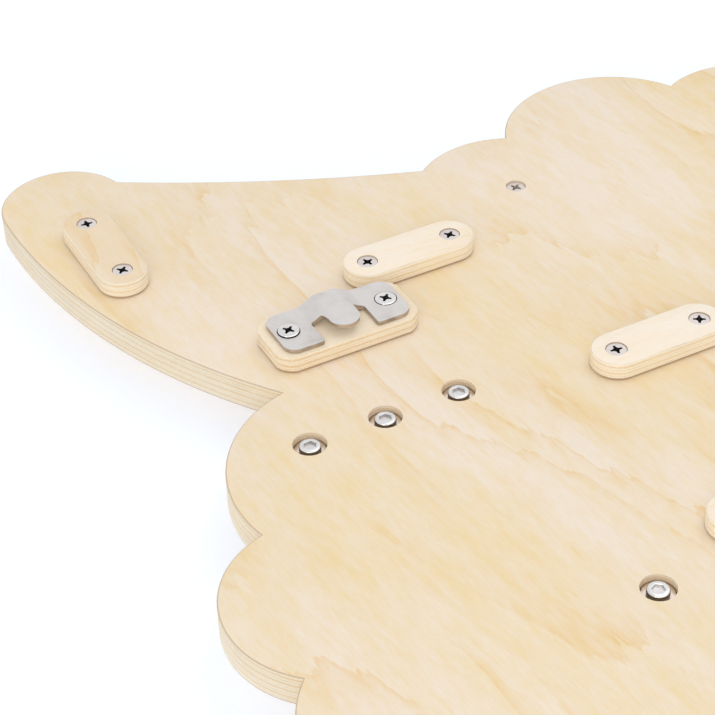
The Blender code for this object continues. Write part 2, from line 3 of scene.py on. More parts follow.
import bmesh
import bpy
from mathutils import Matrix, Vector


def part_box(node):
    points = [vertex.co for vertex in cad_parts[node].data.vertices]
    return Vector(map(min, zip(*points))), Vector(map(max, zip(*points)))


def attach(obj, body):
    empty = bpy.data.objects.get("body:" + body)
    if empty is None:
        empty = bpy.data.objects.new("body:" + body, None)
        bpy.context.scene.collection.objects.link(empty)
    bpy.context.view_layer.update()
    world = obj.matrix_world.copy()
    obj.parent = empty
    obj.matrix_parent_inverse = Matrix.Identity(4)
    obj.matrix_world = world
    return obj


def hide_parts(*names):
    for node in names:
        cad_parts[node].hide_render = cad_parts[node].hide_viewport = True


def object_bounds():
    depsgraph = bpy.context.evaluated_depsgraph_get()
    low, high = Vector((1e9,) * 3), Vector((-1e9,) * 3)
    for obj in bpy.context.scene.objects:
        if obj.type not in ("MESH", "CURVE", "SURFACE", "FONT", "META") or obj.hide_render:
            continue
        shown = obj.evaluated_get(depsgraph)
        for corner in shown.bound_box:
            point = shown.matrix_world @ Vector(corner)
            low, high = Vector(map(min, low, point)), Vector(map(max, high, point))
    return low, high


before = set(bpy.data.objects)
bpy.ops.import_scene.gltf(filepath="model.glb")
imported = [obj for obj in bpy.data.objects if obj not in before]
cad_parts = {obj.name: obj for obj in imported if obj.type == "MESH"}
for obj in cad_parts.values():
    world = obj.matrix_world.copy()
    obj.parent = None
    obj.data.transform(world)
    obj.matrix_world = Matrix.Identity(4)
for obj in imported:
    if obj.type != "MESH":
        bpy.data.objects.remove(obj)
cad_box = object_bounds()


# Camera
# The photograph looks down at the board's back from 0.75 m, with the board face down
# on a white table, so the camera's upright direction is the board's own +Y.
PHOTO_WIDTH = 715
FOCAL_PIXELS = 2123
CENTRE_ABOVE_MIDDLE = 1
CAMERA_PLACE = Vector((0.4249, 0.4628, -0.5453))
CAMERA_TARGET = Vector((0.160, 0.0, -0.0151))
CAMERA_ROLL = math.radians(-2.15)
NEAREST_SEEN = 0.05


def linked_object(name, data):
    """An object for a camera, a lamp or a mesh, put into the scene."""
    thing = bpy.data.objects.new(name, data)
    bpy.context.scene.collection.objects.link(thing)
    return thing


camera_data = bpy.data.cameras.new("photo_camera")
camera_data.lens = camera_data.sensor_width * FOCAL_PIXELS / PHOTO_WIDTH
camera_data.shift_y = -CENTRE_ABOVE_MIDDLE / PHOTO_WIDTH
camera_data.clip_start = NEAREST_SEEN
camera = linked_object("photo_camera", camera_data)
ahead = (CAMERA_TARGET - CAMERA_PLACE).normalized()
level = ahead.cross(Vector((0, 1, 0))).normalized()
upright = level.cross(ahead)
camera_right = math.cos(CAMERA_ROLL) * level + math.sin(CAMERA_ROLL) * upright
camera_up = math.cos(CAMERA_ROLL) * upright - math.sin(CAMERA_ROLL) * level
camera_axes = Matrix((camera_right, camera_up, -ahead)).transposed().to_4x4()
camera.matrix_world = Matrix.Translation(CAMERA_PLACE) @ camera_axes
bpy.context.scene.camera = camera
bpy.context.scene.view_settings.view_transform = "Standard"


# Studio
# A white sweep: pale light from all round, one large soft lamp over the back from the
# upper right of the photograph, a fill at the camera's left, and one for the front.
SKY_LIGHT = (0.98, 0.985, 1.0)
SKY_STRENGTH = 0.79
WHITE = (1.0, 1.0, 1.0)
LAMPS = (
    ("back_softbox", Vector((-0.6, 1.6, 0.15)), 4.2),
    ("fill_softbox", Vector((1.1, 0.90, -1.25)), 8.5),
    ("front_softbox", Vector((0.5, -1.9, 0.6)), 17.0),
)
LAMP_SIZE = 1.1
LAMP_TARGET = Vector((0.1, 0.0, -0.05))


def connect(step, inputs):
    """Sets a node's inputs, by name or number, to values, colours or other nodes' outputs."""
    for name, value in inputs.items():
        socket = step.inputs[name]
        if isinstance(value, bpy.types.NodeSocket):
            step.id_data.links.new(value, socket)
        else:
            socket.default_value = (*value, 1) if socket.type == "RGBA" else value
    return step


def add_step(tree, kind, **inputs):
    return connect(tree.nodes.new("ShaderNode" + kind), inputs)


def maths(operation, *values):
    """One step of arithmetic on numbers and outputs, in the outputs' own node tree."""
    tree = next(value.id_data for value in values if isinstance(value, bpy.types.NodeSocket))
    step = add_step(tree, "Math")
    step.operation = operation
    return connect(step, dict(enumerate(values))).outputs[0]


def mixed(share, first, second):
    """The first shader where share is 0, and the second where it is 1."""
    choice = add_step(share.id_data, "MixShader")
    return connect(choice, {0: share, 1: first.outputs[0], 2: second.outputs[0]}).outputs[0]


def seen_directly(tree):
    """1 for rays from the camera and for reflections, which show plain white."""
    ray = add_step(tree, "LightPath").outputs
    straight = maths("MAXIMUM", ray["Is Camera Ray"], ray["Is Glossy Ray"])
    return maths("MAXIMUM", straight, ray["Is Transmission Ray"])


sweep = bpy.data.worlds.new("white_sweep")
bpy.context.scene.world = sweep
sweep.use_nodes = True
sky = sweep.node_tree
sky.nodes.clear()
sky_light = add_step(sky, "Background", Color=SKY_LIGHT, Strength=SKY_STRENGTH)
sky_white = add_step(sky, "Background", Color=WHITE)
add_step(sky, "OutputWorld", Surface=mixed(seen_directly(sky), sky_light, sky_white))
for name, place, power in LAMPS:
    data = bpy.data.lights.new(name, "AREA")
    data.shape = "SQUARE"
    data.size = LAMP_SIZE
    data.energy = power
    light = linked_object(name, data)
    light.location = place
    light.rotation_euler = (LAMP_TARGET - place).to_track_quat("-Z", "Y").to_euler()


# Table and floor
# The white table that the board lies face down on in the photograph, and a pale floor
# below. Each shows from one side only, so that neither hides the board in other views.
TABLE_GAP = 0.0005
STAGE_SIZE = 4.0
FLOOR_DROP = 0.75
TABLE_COLOUR = (0.77, 0.785, 0.83)
TABLE_GLOW = (0.275, 0.325, 0.395)
FLOOR_COLOUR = (0.80, 0.80, 0.80)
FLOOR_GLOW = (0.60, 0.60, 0.60)


def new_material(name):
    material = bpy.data.materials.new(name)
    material.use_nodes = True
    return material, material.node_tree


def one_sided_white(name, colour, glow_colour):
    """Matt white that glows where it is seen directly, is clear from behind and casts no shadow."""
    material, tree = new_material(name)
    tree.nodes.clear()
    matt = add_step(tree, "BsdfDiffuse", Color=colour)
    glow = add_step(tree, "Emission", Color=glow_colour, Strength=seen_directly(tree))
    both = connect(add_step(tree, "AddShader"), {0: matt.outputs[0], 1: glow.outputs[0]})
    from_behind = add_step(tree, "NewGeometry").outputs["Backfacing"]
    in_shadow = add_step(tree, "LightPath").outputs["Is Shadow Ray"]
    clear = add_step(tree, "BsdfTransparent")
    add_step(tree, "OutputMaterial", Surface=mixed(maths("MAXIMUM", from_behind, in_shadow), both, clear))
    return material


def mesh_of(shape, name):
    mesh = bpy.data.meshes.new(name)
    shape.to_mesh(mesh)
    shape.free()
    return mesh


def white_sheet(name, place, turn, colour, glow_colour):
    sheet = bmesh.new()
    bmesh.ops.create_grid(sheet, x_segments=1, y_segments=1, size=STAGE_SIZE / 2)
    mesh = mesh_of(sheet, name)
    mesh.materials.append(one_sided_white(name + "_white", colour, glow_colour))
    piece = linked_object(name, mesh)
    piece.location = place
    piece.rotation_euler.x = turn


white_sheet("table", (0, cad_box[0].y - TABLE_GAP, 0), math.radians(-90), TABLE_COLOUR, TABLE_GLOW)
white_sheet("floor", (0, 0, cad_box[0].z - FLOOR_DROP), 0, FLOOR_COLOUR, FLOOR_GLOW)


# Panel
# One sheet of 12 mm birch plywood, sawn to a fluffy head with two ears. Its edges are
# sanded round, and the six counterbores go in from the back with a flat-bottomed drill.
HALF_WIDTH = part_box("board_panel")[1].x
BOARD_HEIGHT = 0.483
HEAD_SHARES = (
    (0.0, 0.2232, 0.0),
    (0.1554, 0.1708, 0.144),
    (0.3123, 0.1623, 0.148),
    (0.7323, 0.2756, -0.026),
    (0.9208, 0.2656, 0.440),
    (0.7404, -0.0416, 0.084),
    (0.8855, -0.1694, 0.212),
    (0.9486, -0.2990, 0.306),
    (0.8499, -0.4549, 0.317),
    (0.6481, -0.5578, 0.285),
    (0.4010, -0.6176, 0.272),
    (0.1414, -0.6442, 0.260),
    (0.0, -0.6853, 0.126),
)
ARC_ERROR = 0.00002
PANEL_ARRIS = 0.0005
ARRIS_SEGMENTS = 3
RIM_ANGLE = math.radians(80)
FLAT_NORMAL = 0.999
WOOD_CREASE = math.radians(40)
COUNTERBORE_RADIUS = 0.006
COUNTERBORE_DEPTH = 0.004
BARREL_HOLE_RADIUS = 0.0033
WEB_HOLE_RADIUS = 0.0023
WEB_THICKNESS = 0.003
BORE_STEPS = 72
HEAD_HOLE_RADIUS = 0.0039
HEAD_HOLE_RIM = 0.0006
HEAD_HOLE_CONE = 0.002
SHANK_HOLE_RADIUS = 0.0023
SHANK_HOLE_DEPTH = 0.017
SCREW_STEPS = 48
OVERRUN = 0.002
SIDES_SLOT, FACES_SLOT, BORES_SLOT, HOLES_SLOT = range(4)
SIDES = ("left", "right")
TURNING_NAMES = (
    "small_disc_inner", "small_disc_middle", "small_disc_outer",
    "large_disc", "scalloped_wheel_left", "scalloped_wheel_right",
)


def arc_run(start, end, swell):
    """Points from start up to end on an arc that stands out to the left by swell of its chord."""
    if not swell:
        return [start]
    chord = end - start
    rise = swell * chord.length
    radius = (chord.length_squared / 4 + rise * rise) / (2 * rise)
    outward = Vector((-chord.y, chord.x)).normalized()
    centre = (start + end) / 2 + outward * (rise - radius)
    turn = 4 * math.atan(2 * swell)
    step = 2 * math.acos(1 - ARC_ERROR / abs(radius))
    count = 2 * math.ceil(abs(turn) / step / 2)
    spoke = start - centre
    return [centre + Matrix.Rotation(-turn * i / count, 2) @ spoke for i in range(count)]


def outline_points(corners):
    """A closed outline through (x, z, swell) corners, clockwise as the front is seen."""
    points = []
    for before, after in zip(corners, corners[1:] + corners[:1]):
        points += arc_run(Vector(before[:2]), Vector(after[:2]), after[2])
    return points


def mirrored_corners(right):
    """The corners of a symmetric outline from its right half, whose ends lie on the middle line."""
    swells = [corner[2] for corner in right[1:]]
    left = [(-x, z) for x, z, _ in reversed(right[1:-1])]
    returning = [(*place, swell) for place, swell in zip(left, reversed(swells))]
    return [(right[0][0], right[0][1], swells[0]), *right[1:], *returning]


def plate_mesh(points, back, front, arris):
    """A plate of the given outline between two heights along Y, with its edges rounded."""
    plate = bmesh.new()
    rim = [plate.verts.new((point.x, back, point.y)) for point in points]
    cap = plate.faces.new(rim)
    walls = bmesh.ops.extrude_face_region(plate, geom=[cap])["geom"]
    moved = [part for part in walls if isinstance(part, bmesh.types.BMVert)]
    bmesh.ops.translate(plate, verts=moved, vec=(0, front - back, 0))
    bmesh.ops.recalc_face_normals(plate, faces=plate.faces)
    edges = [
        edge for edge in plate.edges
        if edge.calc_face_angle(0) > RIM_ANGLE and abs(edge.verts[0].co.y - edge.verts[1].co.y) < arris
    ]
    bmesh.ops.bevel(
        plate, geom=edges, offset=arris, segments=ARRIS_SEGMENTS, profile=0.5, affect="EDGES"
    )
    return mesh_of(plate, "plate")


def turned_mesh(profile, steps, facing, place):
    """A turned shape from (radius, height) corners, with its axis along Y and facing 1 or -1."""
    shape = bmesh.new()
    angles = [2 * math.pi * step / steps for step in range(steps)]
    rings = [
        [
            shape.verts.new(place + Vector((radius * math.cos(a), facing * height, radius * math.sin(a))))
            for a in (angles if radius else angles[:1])
        ]
        for radius, height in profile
    ]
    for upper, lower in zip(rings, rings[1:]):
        for i in range(steps):
            j = (i + 1) % steps
            corners = [ring[at % len(ring)] for ring, at in ((upper, i), (upper, j), (lower, j), (lower, i))]
            unlike = list(dict.fromkeys(corners))
            if len(unlike) > 2:
                shape.faces.new(unlike)
    if len(rings[0]) > 1:
        join_rings(shape, rings[-1], rings[0])
    bmesh.ops.recalc_face_normals(shape, faces=shape.faces)
    return mesh_of(shape, "turned")


def join_rings(shape, upper, lower):
    """Faces from each side of one ring of points to the same side of the next."""
    for i in range(len(upper)):
        j = (i + 1) % len(upper)
        shape.faces.new([upper[i], upper[j], lower[j], lower[i]])


def settled(piece, tools=()):
    """The mesh that a piece's modifiers give. The piece and its tools are cleared away."""
    bpy.context.view_layer.update()
    seen = piece.evaluated_get(bpy.context.evaluated_depsgraph_get())
    result = bpy.data.meshes.new_from_object(seen)
    for old in (piece, *tools):
        bpy.data.objects.remove(old, do_unlink=True)
    return result


def bored(mesh, cutters, operation="DIFFERENCE"):
    """The mesh with each cutter's shape taken out. The cut faces keep the cutter's material slot."""
    piece = linked_object("bored", mesh)
    tools = []
    for number, cutter in enumerate(cutters):
        tool = linked_object("tool_" + str(number), cutter)
        cut = piece.modifiers.new("cut_" + str(number), "BOOLEAN")
        cut.operation = operation
        cut.object = tool
        tools.append(tool)
    return settled(piece, tools)


def painted(mesh, materials, slot=0):
    """The mesh with these materials, and every face of it in the given one."""
    for material in materials:
        mesh.materials.append(material)
    for face in mesh.polygons:
        face.material_index = slot
    return mesh


def kept_inside(mesh, node):
    """Draws in the few points that a finer curve carries past its node's box."""
    low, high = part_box(node)
    for point in mesh.vertices:
        point.co = [min(max(at, least), most) for at, least, most in zip(point.co, low, high)]
    return mesh


def part_faces(mesh):
    """The flats that look along Y take the face veneer, and the sides keep their plies."""
    for face in mesh.polygons:
        flat = abs(face.normal.y) > FLAT_NORMAL
        if flat and face.material_index == SIDES_SLOT:
            face.material_index = FACES_SLOT
        face.use_smooth = not flat
    mesh.set_sharp_from_angle(angle=WOOD_CREASE)


def at_height(node, height):
    """The point on a node's own axis at a height along Y."""
    low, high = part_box(node)
    centre = (low + high) / 2
    return Vector((centre.x, height, centre.z))


def screw_hole_mesh(node, radius=HEAD_HOLE_RADIUS, rim=HEAD_HOLE_RIM):
    """A countersunk hole for the screw of that node, just deeper and wider than its head."""
    foot = rim + HEAD_HOLE_CONE
    profile = [
        (0, OVERRUN), (radius, OVERRUN), (radius, -rim),
        (SHANK_HOLE_RADIUS, -foot), (SHANK_HOLE_RADIUS, -SHANK_HOLE_DEPTH), (0, -SHANK_HOLE_DEPTH),
    ]
    return turned_mesh(profile, SCREW_STEPS, 1, at_height(node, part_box(node)[1].y))


def stepped_profile(top, *steps):
    """The profile of a straight-sided round hole or boss, from (radius, height) steps."""
    profile = [(0, top)]
    for radius, height in steps:
        profile += [(radius, profile[-1][1]), (radius, height)]
    return [*profile, (0, steps[-1][1])]


def counterbore_mesh(name):
    """The flat-bottomed hole for a bolt's head and washer, and the wider hole for its nut's barrel."""
    profile = stepped_profile(
        OVERRUN,
        (COUNTERBORE_RADIUS, -COUNTERBORE_DEPTH),
        (WEB_HOLE_RADIUS, -COUNTERBORE_DEPTH - WEB_THICKNESS),
        (BARREL_HOLE_RADIUS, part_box("board_panel")[0].y - OVERRUN),
    )
    return turned_mesh(profile, BORE_STEPS, 1, at_height("bolt_" + name, 0))


def finished_piece(name, mesh, body, node, materials=()):
    """The object that stands for a node, its points already in place on the board."""
    for material in materials:
        mesh.materials.append(material)
    piece = linked_object(name, mesh)
    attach(piece, body)
    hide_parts(node)
    return piece


# What every wood and metal is made of. A layer of noise is its cells a metre along x, y
# and z, its detail and its roughness, and for patches the two levels it fades in between.
SURFACE = {"Colour": "Color", "Height": "Float", "Roughness": "Float"}
NOISE_MIDDLE = 0.5
MIX_SHARE, MIX_FIRST, MIX_SECOND, MIX_RESULT = 0, 6, 7, 2


def fade(value, low, high):
    """0 below low, 1 above high and a soft step between."""
    step = add_step(value.id_data, "MapRange")
    step.interpolation_type = "SMOOTHSTEP"
    return connect(step, {"Value": value, "From Min": low, "From Max": high}).outputs["Result"]


def fade_out(value, low, high):
    return maths("SUBTRACT", 1.0, fade(value, low, high))


def noise(place, layer):
    cells, detail, roughness = layer
    spread = add_step(place.id_data, "VectorMath")
    spread.operation = "MULTIPLY"
    spread = connect(spread, {0: place, 1: cells}).outputs[0]
    field = add_step(place.id_data, "TexNoise", Vector=spread, Scale=1, Detail=detail, Roughness=roughness)
    return field.outputs["Fac"]


def swing(place, layer):
    """Noise that goes as far below 0 as above it."""
    return maths("SUBTRACT", noise(place, layer), NOISE_MIDDLE)


def patches(place, layer):
    *field, low, high = layer
    return fade(noise(place, field), low, high)


def weighed(start, *parts):
    """The start with each part added to it at the share that stands beside it."""
    for part, share in parts:
        start = maths("MULTIPLY_ADD", part, share, start)
    return start


def product(first, *others):
    for other in others:
        first = maths("MULTIPLY", first, other)
    return first


def blend_colour(share, first, second, mode="MIX"):
    step = add_step(share.id_data, "Mix")
    step.data_type = "RGBA"
    step.blend_type = mode
    return connect(step, {MIX_SHARE: share, MIX_FIRST: first, MIX_SECOND: second}).outputs[MIX_RESULT]


def shared_group(name, **inputs):
    """A node group with named inputs, and the outputs that a surface needs."""
    group = bpy.data.node_groups.new(name, "ShaderNodeTree")
    for direction, sockets in (("INPUT", inputs), ("OUTPUT", SURFACE)):
        for socket, kind in sockets.items():
            group.interface.new_socket(name=socket, in_out=direction, socket_type="NodeSocket" + kind)
    return group, group.nodes.new("NodeGroupInput").outputs


def with_outputs(group, **outputs):
    connect(group.nodes.new("NodeGroupOutput"), outputs)
    return group


# Birch veneer, with X across the grain and Y along it
SWAY = ((5, 3.6, 90), 1, 0.5)
FLAMES = ((150, 15, 90), 2, 0.5)
FRAY = ((650, 80, 90), 2, 0.6)
BROAD = ((15, 5, 90), 2, 0.5, 0.36, 0.66)
CLOUDS = ((75, 14, 90), 3, 0.6, 0.38, 0.66)
BLOTCHES = ((330, 78, 260), 4, 0.68, 0.34, 0.72)
STREAKS = ((520, 45, 90), 3, 0.6)
RINGS = ((12, 4.2, 90), 1, 0.4)
RINGED = ((22, 9, 90), 2, 0.5, 0.42, 0.64)
FIBRES = ((1700, 160, 300), 3, 0.65)
PORES = ((1500, 420, 300), 2, 0.5, 0.62, 0.78)
VESSELS = ((1000, 70, 300), 2, 0.5, 0.67, 0.78)
GRIT = ((1900, 1300, 1900), 2, 0.6)
RING_COUNT = 9.0
RING_DEEPENING = 3.2
RING_EDGE = (0.88, 0.98)
RING_EDGE_SHARE = 0.25
RING_END = (0.98, 1.0)
FIBRE_LEVELS = (0.35, 0.8)
VENEER_ROUGHNESS = 0.48


def make_veneer_group():
    """Rotary-cut birch. The grain sways a little. Mottling in three sizes lies under growth rings, each of
    which deepens to a golden band that ends at a ragged line. Over all are short vessels and fine fibres."""
    group, given = shared_group(
        "veneer", Place="Vector", Pale="Color", Warm="Color", Ring="Color", Figure="Float"
    )
    place = given["Place"]
    at = add_step(group, "SeparateXYZ", Vector=place).outputs
    across = weighed(at["X"], (swing(place, SWAY), 0.035))
    along = weighed(at["Y"], (swing(place, FLAMES), 0.045), (swing(place, FRAY), 0.014))
    flow = add_step(group, "CombineXYZ", X=across, Y=along, Z=at["Z"]).outputs[0]

    broad = patches(place, BROAD)
    clouds = patches(place, CLOUDS)
    blotches = patches(place, BLOTCHES)
    streaks = swing(flow, STREAKS)
    warm = weighed(-0.16, (broad, 0.42), (clouds, 0.34), (blotches, 0.38), (streaks, 0.36))
    warm = maths("MINIMUM", maths("MAXIMUM", warm, 0.0), 1.0)
    colour = blend_colour(warm, given["Pale"], given["Warm"])

    rings = maths("FRACT", product(noise(flow, RINGS), RING_COUNT))
    edge = product(fade(rings, *RING_EDGE), RING_EDGE_SHARE)
    band = maths("POWER", rings, RING_DEEPENING)
    band = maths("MULTIPLY_ADD", band, weighed(0.35, (blotches, 0.60)), edge)
    ring = product(band, fade_out(rings, *RING_END), patches(place, RINGED), given["Figure"])
    colour = blend_colour(ring, colour, given["Ring"])

    fibres = noise(flow, FIBRES)
    pores = patches(flow, PORES)
    vessels = patches(place, VESSELS)
    grit = noise(place, GRIT)
    fine = weighed(0.0, (fade(fibres, *FIBRE_LEVELS), 0.20), (pores, 0.14), (grit, 0.16), (vessels, 0.40))
    return with_outputs(
        group,
        Colour=blend_colour(fine, colour, given["Ring"]),
        Height=maths("SUBTRACT", fibres, pores),
        Roughness=weighed(VENEER_ROUGHNESS, (clouds, 0.10)),
    )


# Plywood's sawn edge, in which a depth of 1 is one ply
WANDER = ((45, 45, 45), 3, 0.5)
GLUE_PATCHES = ((70, 70, 70), 2, 0.5, 0.35, 0.75)
END_GRAIN = ((1300, 1300, 1300), 3, 0.75)
LONG_GRAIN = ((130, 3000, 130), 3, 0.6)
SHADE = ((30, 230, 30), 3, 0.55, 0.36, 0.66)
GLUE_LINE = (0.02, 0.13)
CROSS_PLY_LEVELS = (0.30, 0.70)
FLECK_LEVELS = (0.54, 0.68)
SPECK_LEVELS = (0.50, 0.76)
STREAK_LEVELS = (0.45, 0.85)
RIM_DEPTHS = (0.16, 0.30)
# Heights above the foot over which its painted shade fades out
FOOT_SHADE_HEIGHTS = (0.32, 0.64)
PLY_ROUGHNESS = 0.50


def make_ply_group():
    """Plies that lie across each other, their end grain flecked and their long grain streaked, with faint
    brown glue lines and a brown line under the face. The foot is darkened as painted shade where the edge
    meets the surface under it, and a bore's wall is painted darker low down, as shade near its washer."""
    group, given = shared_group(
        "ply_edge", Place="Vector", Depth="Float", Plies="Float", Rim="Float", Foot="Float",
        Scorch="Float", Pale="Color", Tan="Color", Glue="Color",
    )
    place = given["Place"]
    depth = weighed(given["Depth"], (swing(place, WANDER), 0.3))
    glue = fade_out(maths("PINGPONG", depth, 0.5), *GLUE_LINE)
    cross_ply = fade(maths("PINGPONG", depth, 1.0), *CROSS_PLY_LEVELS)
    end_grain = noise(place, END_GRAIN)
    long_grain = noise(place, LONG_GRAIN)
    flecks = fade(end_grain, *FLECK_LEVELS)
    tan = weighed(0.0, (cross_ply, 0.52), (patches(place, SHADE), 0.26), (flecks, -0.55))
    colour = blend_colour(maths("MAXIMUM", tan, 0.0), given["Pale"], given["Tan"])
    specks = fade(maths("SUBTRACT", 1.0, end_grain), *SPECK_LEVELS)
    marks = weighed(0.0, (specks, 0.34), (fade(long_grain, *STREAK_LEVELS), 0.14))
    colour = blend_colour(marks, colour, given["Tan"], "MULTIPLY")

    glue_line = product(glue, weighed(0.16, (patches(place, GLUE_PATCHES), 0.34)))
    rim = product(fade_out(given["Depth"], *RIM_DEPTHS), given["Rim"])
    # Painted shade along the foot, where the edge meets the surface under it
    above = maths("SUBTRACT", given["Plies"], given["Depth"])
    foot = product(fade_out(above, *FOOT_SHADE_HEIGHTS), given["Foot"])
    glue_and_shade = maths("MAXIMUM", maths("MAXIMUM", glue_line, rim), foot)
    colour = blend_colour(glue_and_shade, colour, given["Glue"])
    # A bore's wall is also painted darker towards its bottom, as shade near the washer
    return with_outputs(
        group,
        Colour=blend_colour(given["Scorch"], colour, given["Glue"]),
        Height=weighed(long_grain, (specks, -1.0), (glue, -0.5)),
        Roughness=weighed(PLY_ROUGHNESS, (end_grain, 0.25)),
    )


VENEER = make_veneer_group()
PLY_EDGE = make_ply_group()
WOOD_LOOK = {"Specular IOR Level": 0.3}
WOOD_BUMP_DEPTH = 0.0002
VENEER_BUMP = 0.12
PLY_BUMP = 0.25
FACE_TURN = math.radians(-90)
UPRIGHT_GRAIN = 0
PANEL_GRAIN = math.radians(5)
LEVEL_GRAIN = math.radians(90)
RING_COLOUR = (0.825, 0.565, 0.245)
# Brown of the glue lines, also used for painted shade along an edge's foot and low in a bore
GLUE_AND_SHADE_COLOUR = (0.400, 0.210, 0.080)
BORE_SHADE_SHARE = 0.65


def dress(tree, group, bump, bump_depth, look, **inputs):
    """Gives a material the colour, roughness and bump of a group. Look holds the shader's own values."""
    maker = add_step(tree, "Group")
    maker.node_tree = group
    made = connect(maker, inputs).outputs
    relief = add_step(tree, "Bump", Strength=bump, Distance=bump_depth, Height=made["Height"])
    driven = {"Base Color": made["Colour"], "Roughness": made["Roughness"], "Normal": relief.outputs[0]}
    connect(tree.nodes["Principled BSDF"], {**look, **driven})


def own_place(tree):
    return add_step(tree, "TexCoord").outputs["Object"]


def grain_place(tree, turn, shift):
    """Places turned so that Y runs along the grain, and shifted to another stretch of wood."""
    turns = (FACE_TURN, 0, turn)
    return add_step(tree, "Mapping", Vector=own_place(tree), Rotation=turns, Location=shift).outputs[0]


def veneer_face(name, colours, figure, turn, shift):
    """A face of plywood, in a pale and a warm colour. Figure is how strongly its growth rings show."""
    material, tree = new_material(name)
    dress(
        tree, VENEER, VENEER_BUMP, WOOD_BUMP_DEPTH, WOOD_LOOK, Place=grain_place(tree, turn, shift),
        Pale=colours[0], Warm=colours[1], Ring=RING_COLOUR, Figure=figure,
    )
    return material


def ply_edge(name, colours, back, sheet, rim, foot=0.0, shade_depths=None):
    """The edge of a plywood piece whose back lies at a height along Y, in a pale and a tan colour. Sheet is
    a ply's thickness and the number of plies. Foot is how strongly painted shade darkens the edge's foot,
    and a drilled edge gets painted shade between two depths."""
    material, tree = new_material(name)
    place = own_place(tree)
    below = maths("SUBTRACT", back, add_step(tree, "SeparateXYZ", Vector=place).outputs["Y"])
    # Painted shade on a bore's wall between two depths, near its washer
    bore_shade = product(fade(below, *shade_depths), BORE_SHADE_SHARE) if shade_depths else 0.0
    dress(
        tree, PLY_EDGE, PLY_BUMP, WOOD_BUMP_DEPTH, WOOD_LOOK, Place=place,
        Depth=maths("DIVIDE", below, sheet[0]), Plies=sheet[1], Rim=rim, Foot=foot, Scorch=bore_shade,
        Pale=colours[0], Tan=colours[1], Glue=GLUE_AND_SHADE_COLOUR,
    )
    return material


PANEL_COLOURS = ((0.900, 0.803, 0.692), (0.870, 0.692, 0.382))
PANEL_EDGE_COLOURS = ((0.915, 0.842, 0.690), (0.855, 0.672, 0.410))
# A bore's wall is lighter and warmer than the sawn edge: partly fresh drilled wood, partly painted light in
# the hollow
BORE_COLOURS = ((1.000, 0.845, 0.630), (1.000, 0.780, 0.520))
# The screw holes' walls are a darker copy of the same edge, as painted shade round the heads
SHADED_HOLE_COLOURS = ((0.750, 0.640, 0.500), (0.600, 0.480, 0.340))
PANEL_SHEET = (0.00133, 9)
# How strongly painted shade darkens an edge's foot, and the depths in a bore where painted shade comes in
PLY_FOOT_SHADE = 0.7
BORE_SHADE_DEPTHS = (0.0022, 0.0031)

panel_materials = (
    ply_edge("panel_edge", PANEL_EDGE_COLOURS, 0.0, PANEL_SHEET, rim=0.5, foot=PLY_FOOT_SHADE),
    veneer_face("panel_veneer", PANEL_COLOURS, figure=0.7, turn=PANEL_GRAIN, shift=(0, 0, 0)),
    ply_edge("bore_wood", BORE_COLOURS, 0.0, PANEL_SHEET, rim=0.2, shade_depths=BORE_SHADE_DEPTHS),
    ply_edge("shaded_hole_wood", SHADED_HOLE_COLOURS, 0.0, PANEL_SHEET, rim=0.0),
)
shaded_hole_wood = panel_materials[HOLES_SLOT]
head_right = [(x * HALF_WIDTH, z * BOARD_HEIGHT, swell) for x, z, swell in HEAD_SHARES]
low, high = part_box("board_panel")
blank = plate_mesh(outline_points(mirrored_corners(head_right)), high.y, low.y, PANEL_ARRIS)
bores = [painted(counterbore_mesh(name), panel_materials, BORES_SLOT) for name in TURNING_NAMES]
holes = [painted(screw_hole_mesh("forelock_screw_" + side), panel_materials, HOLES_SLOT) for side in SIDES]
mesh = bored(painted(kept_inside(blank, "board_panel"), panel_materials), bores + holes)
part_faces(mesh)
finished_piece("panel", mesh, "board", "board_panel")


# Blocks on the back
# Small round-ended blocks of 6.5 mm plywood, pale on top, with five plies that show all
# round. Two countersunk screws go through each into the panel.
BLOCK_NAMES = [kind + "_block_" + side for kind in ("ear", "upper", "middle", "lower") for side in SIDES]
BLOCK_WIDTH = 0.019
BLOCK_ARRIS = 0.0004
BLOCK_SHEET = (0.0013, 5)
BLOCK_RIM = 0.05
BLOCK_HOLES_SLOT = 2
SCREW_NUMBERS = ("1", "2")
BLOCK_COLOURS = ((0.990, 0.910, 0.800), (0.975, 0.835, 0.630))
EAR_BLOCK_COLOURS = ((0.885, 0.760, 0.600), (0.855, 0.665, 0.430))
BLOCK_EDGE_COLOURS = ((0.990, 0.900, 0.735), (0.900, 0.740, 0.490))

block_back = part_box("ear_block_right")[1].y
block_edge = ply_edge("block_edge", BLOCK_EDGE_COLOURS, block_back, BLOCK_SHEET, BLOCK_RIM, PLY_FOOT_SHADE)
ear_veneer = veneer_face(
    "ear_block_veneer", EAR_BLOCK_COLOURS, figure=0.6, turn=UPRIGHT_GRAIN, shift=(0.31, 0.2, 0.5)
)
block_veneer = veneer_face(
    "block_veneer", BLOCK_COLOURS, figure=0.3, turn=LEVEL_GRAIN, shift=(0.13, 0.4, 0.2)
)


def round_ended_bar(centre, length, is_upright):
    """The outline of a bar with a half circle at each end, about a place on the board."""
    side = BLOCK_WIDTH / 2
    end = length / 2 - side
    points = outline_points([(-end, side, 0.5), (end, side, 0), (end, -side, 0.5), (-end, -side, 0)])
    if is_upright:
        points = [Vector((point.y, -point.x)) for point in points]
    return [Vector((centre.x + point.x, centre.z + point.y)) for point in points]


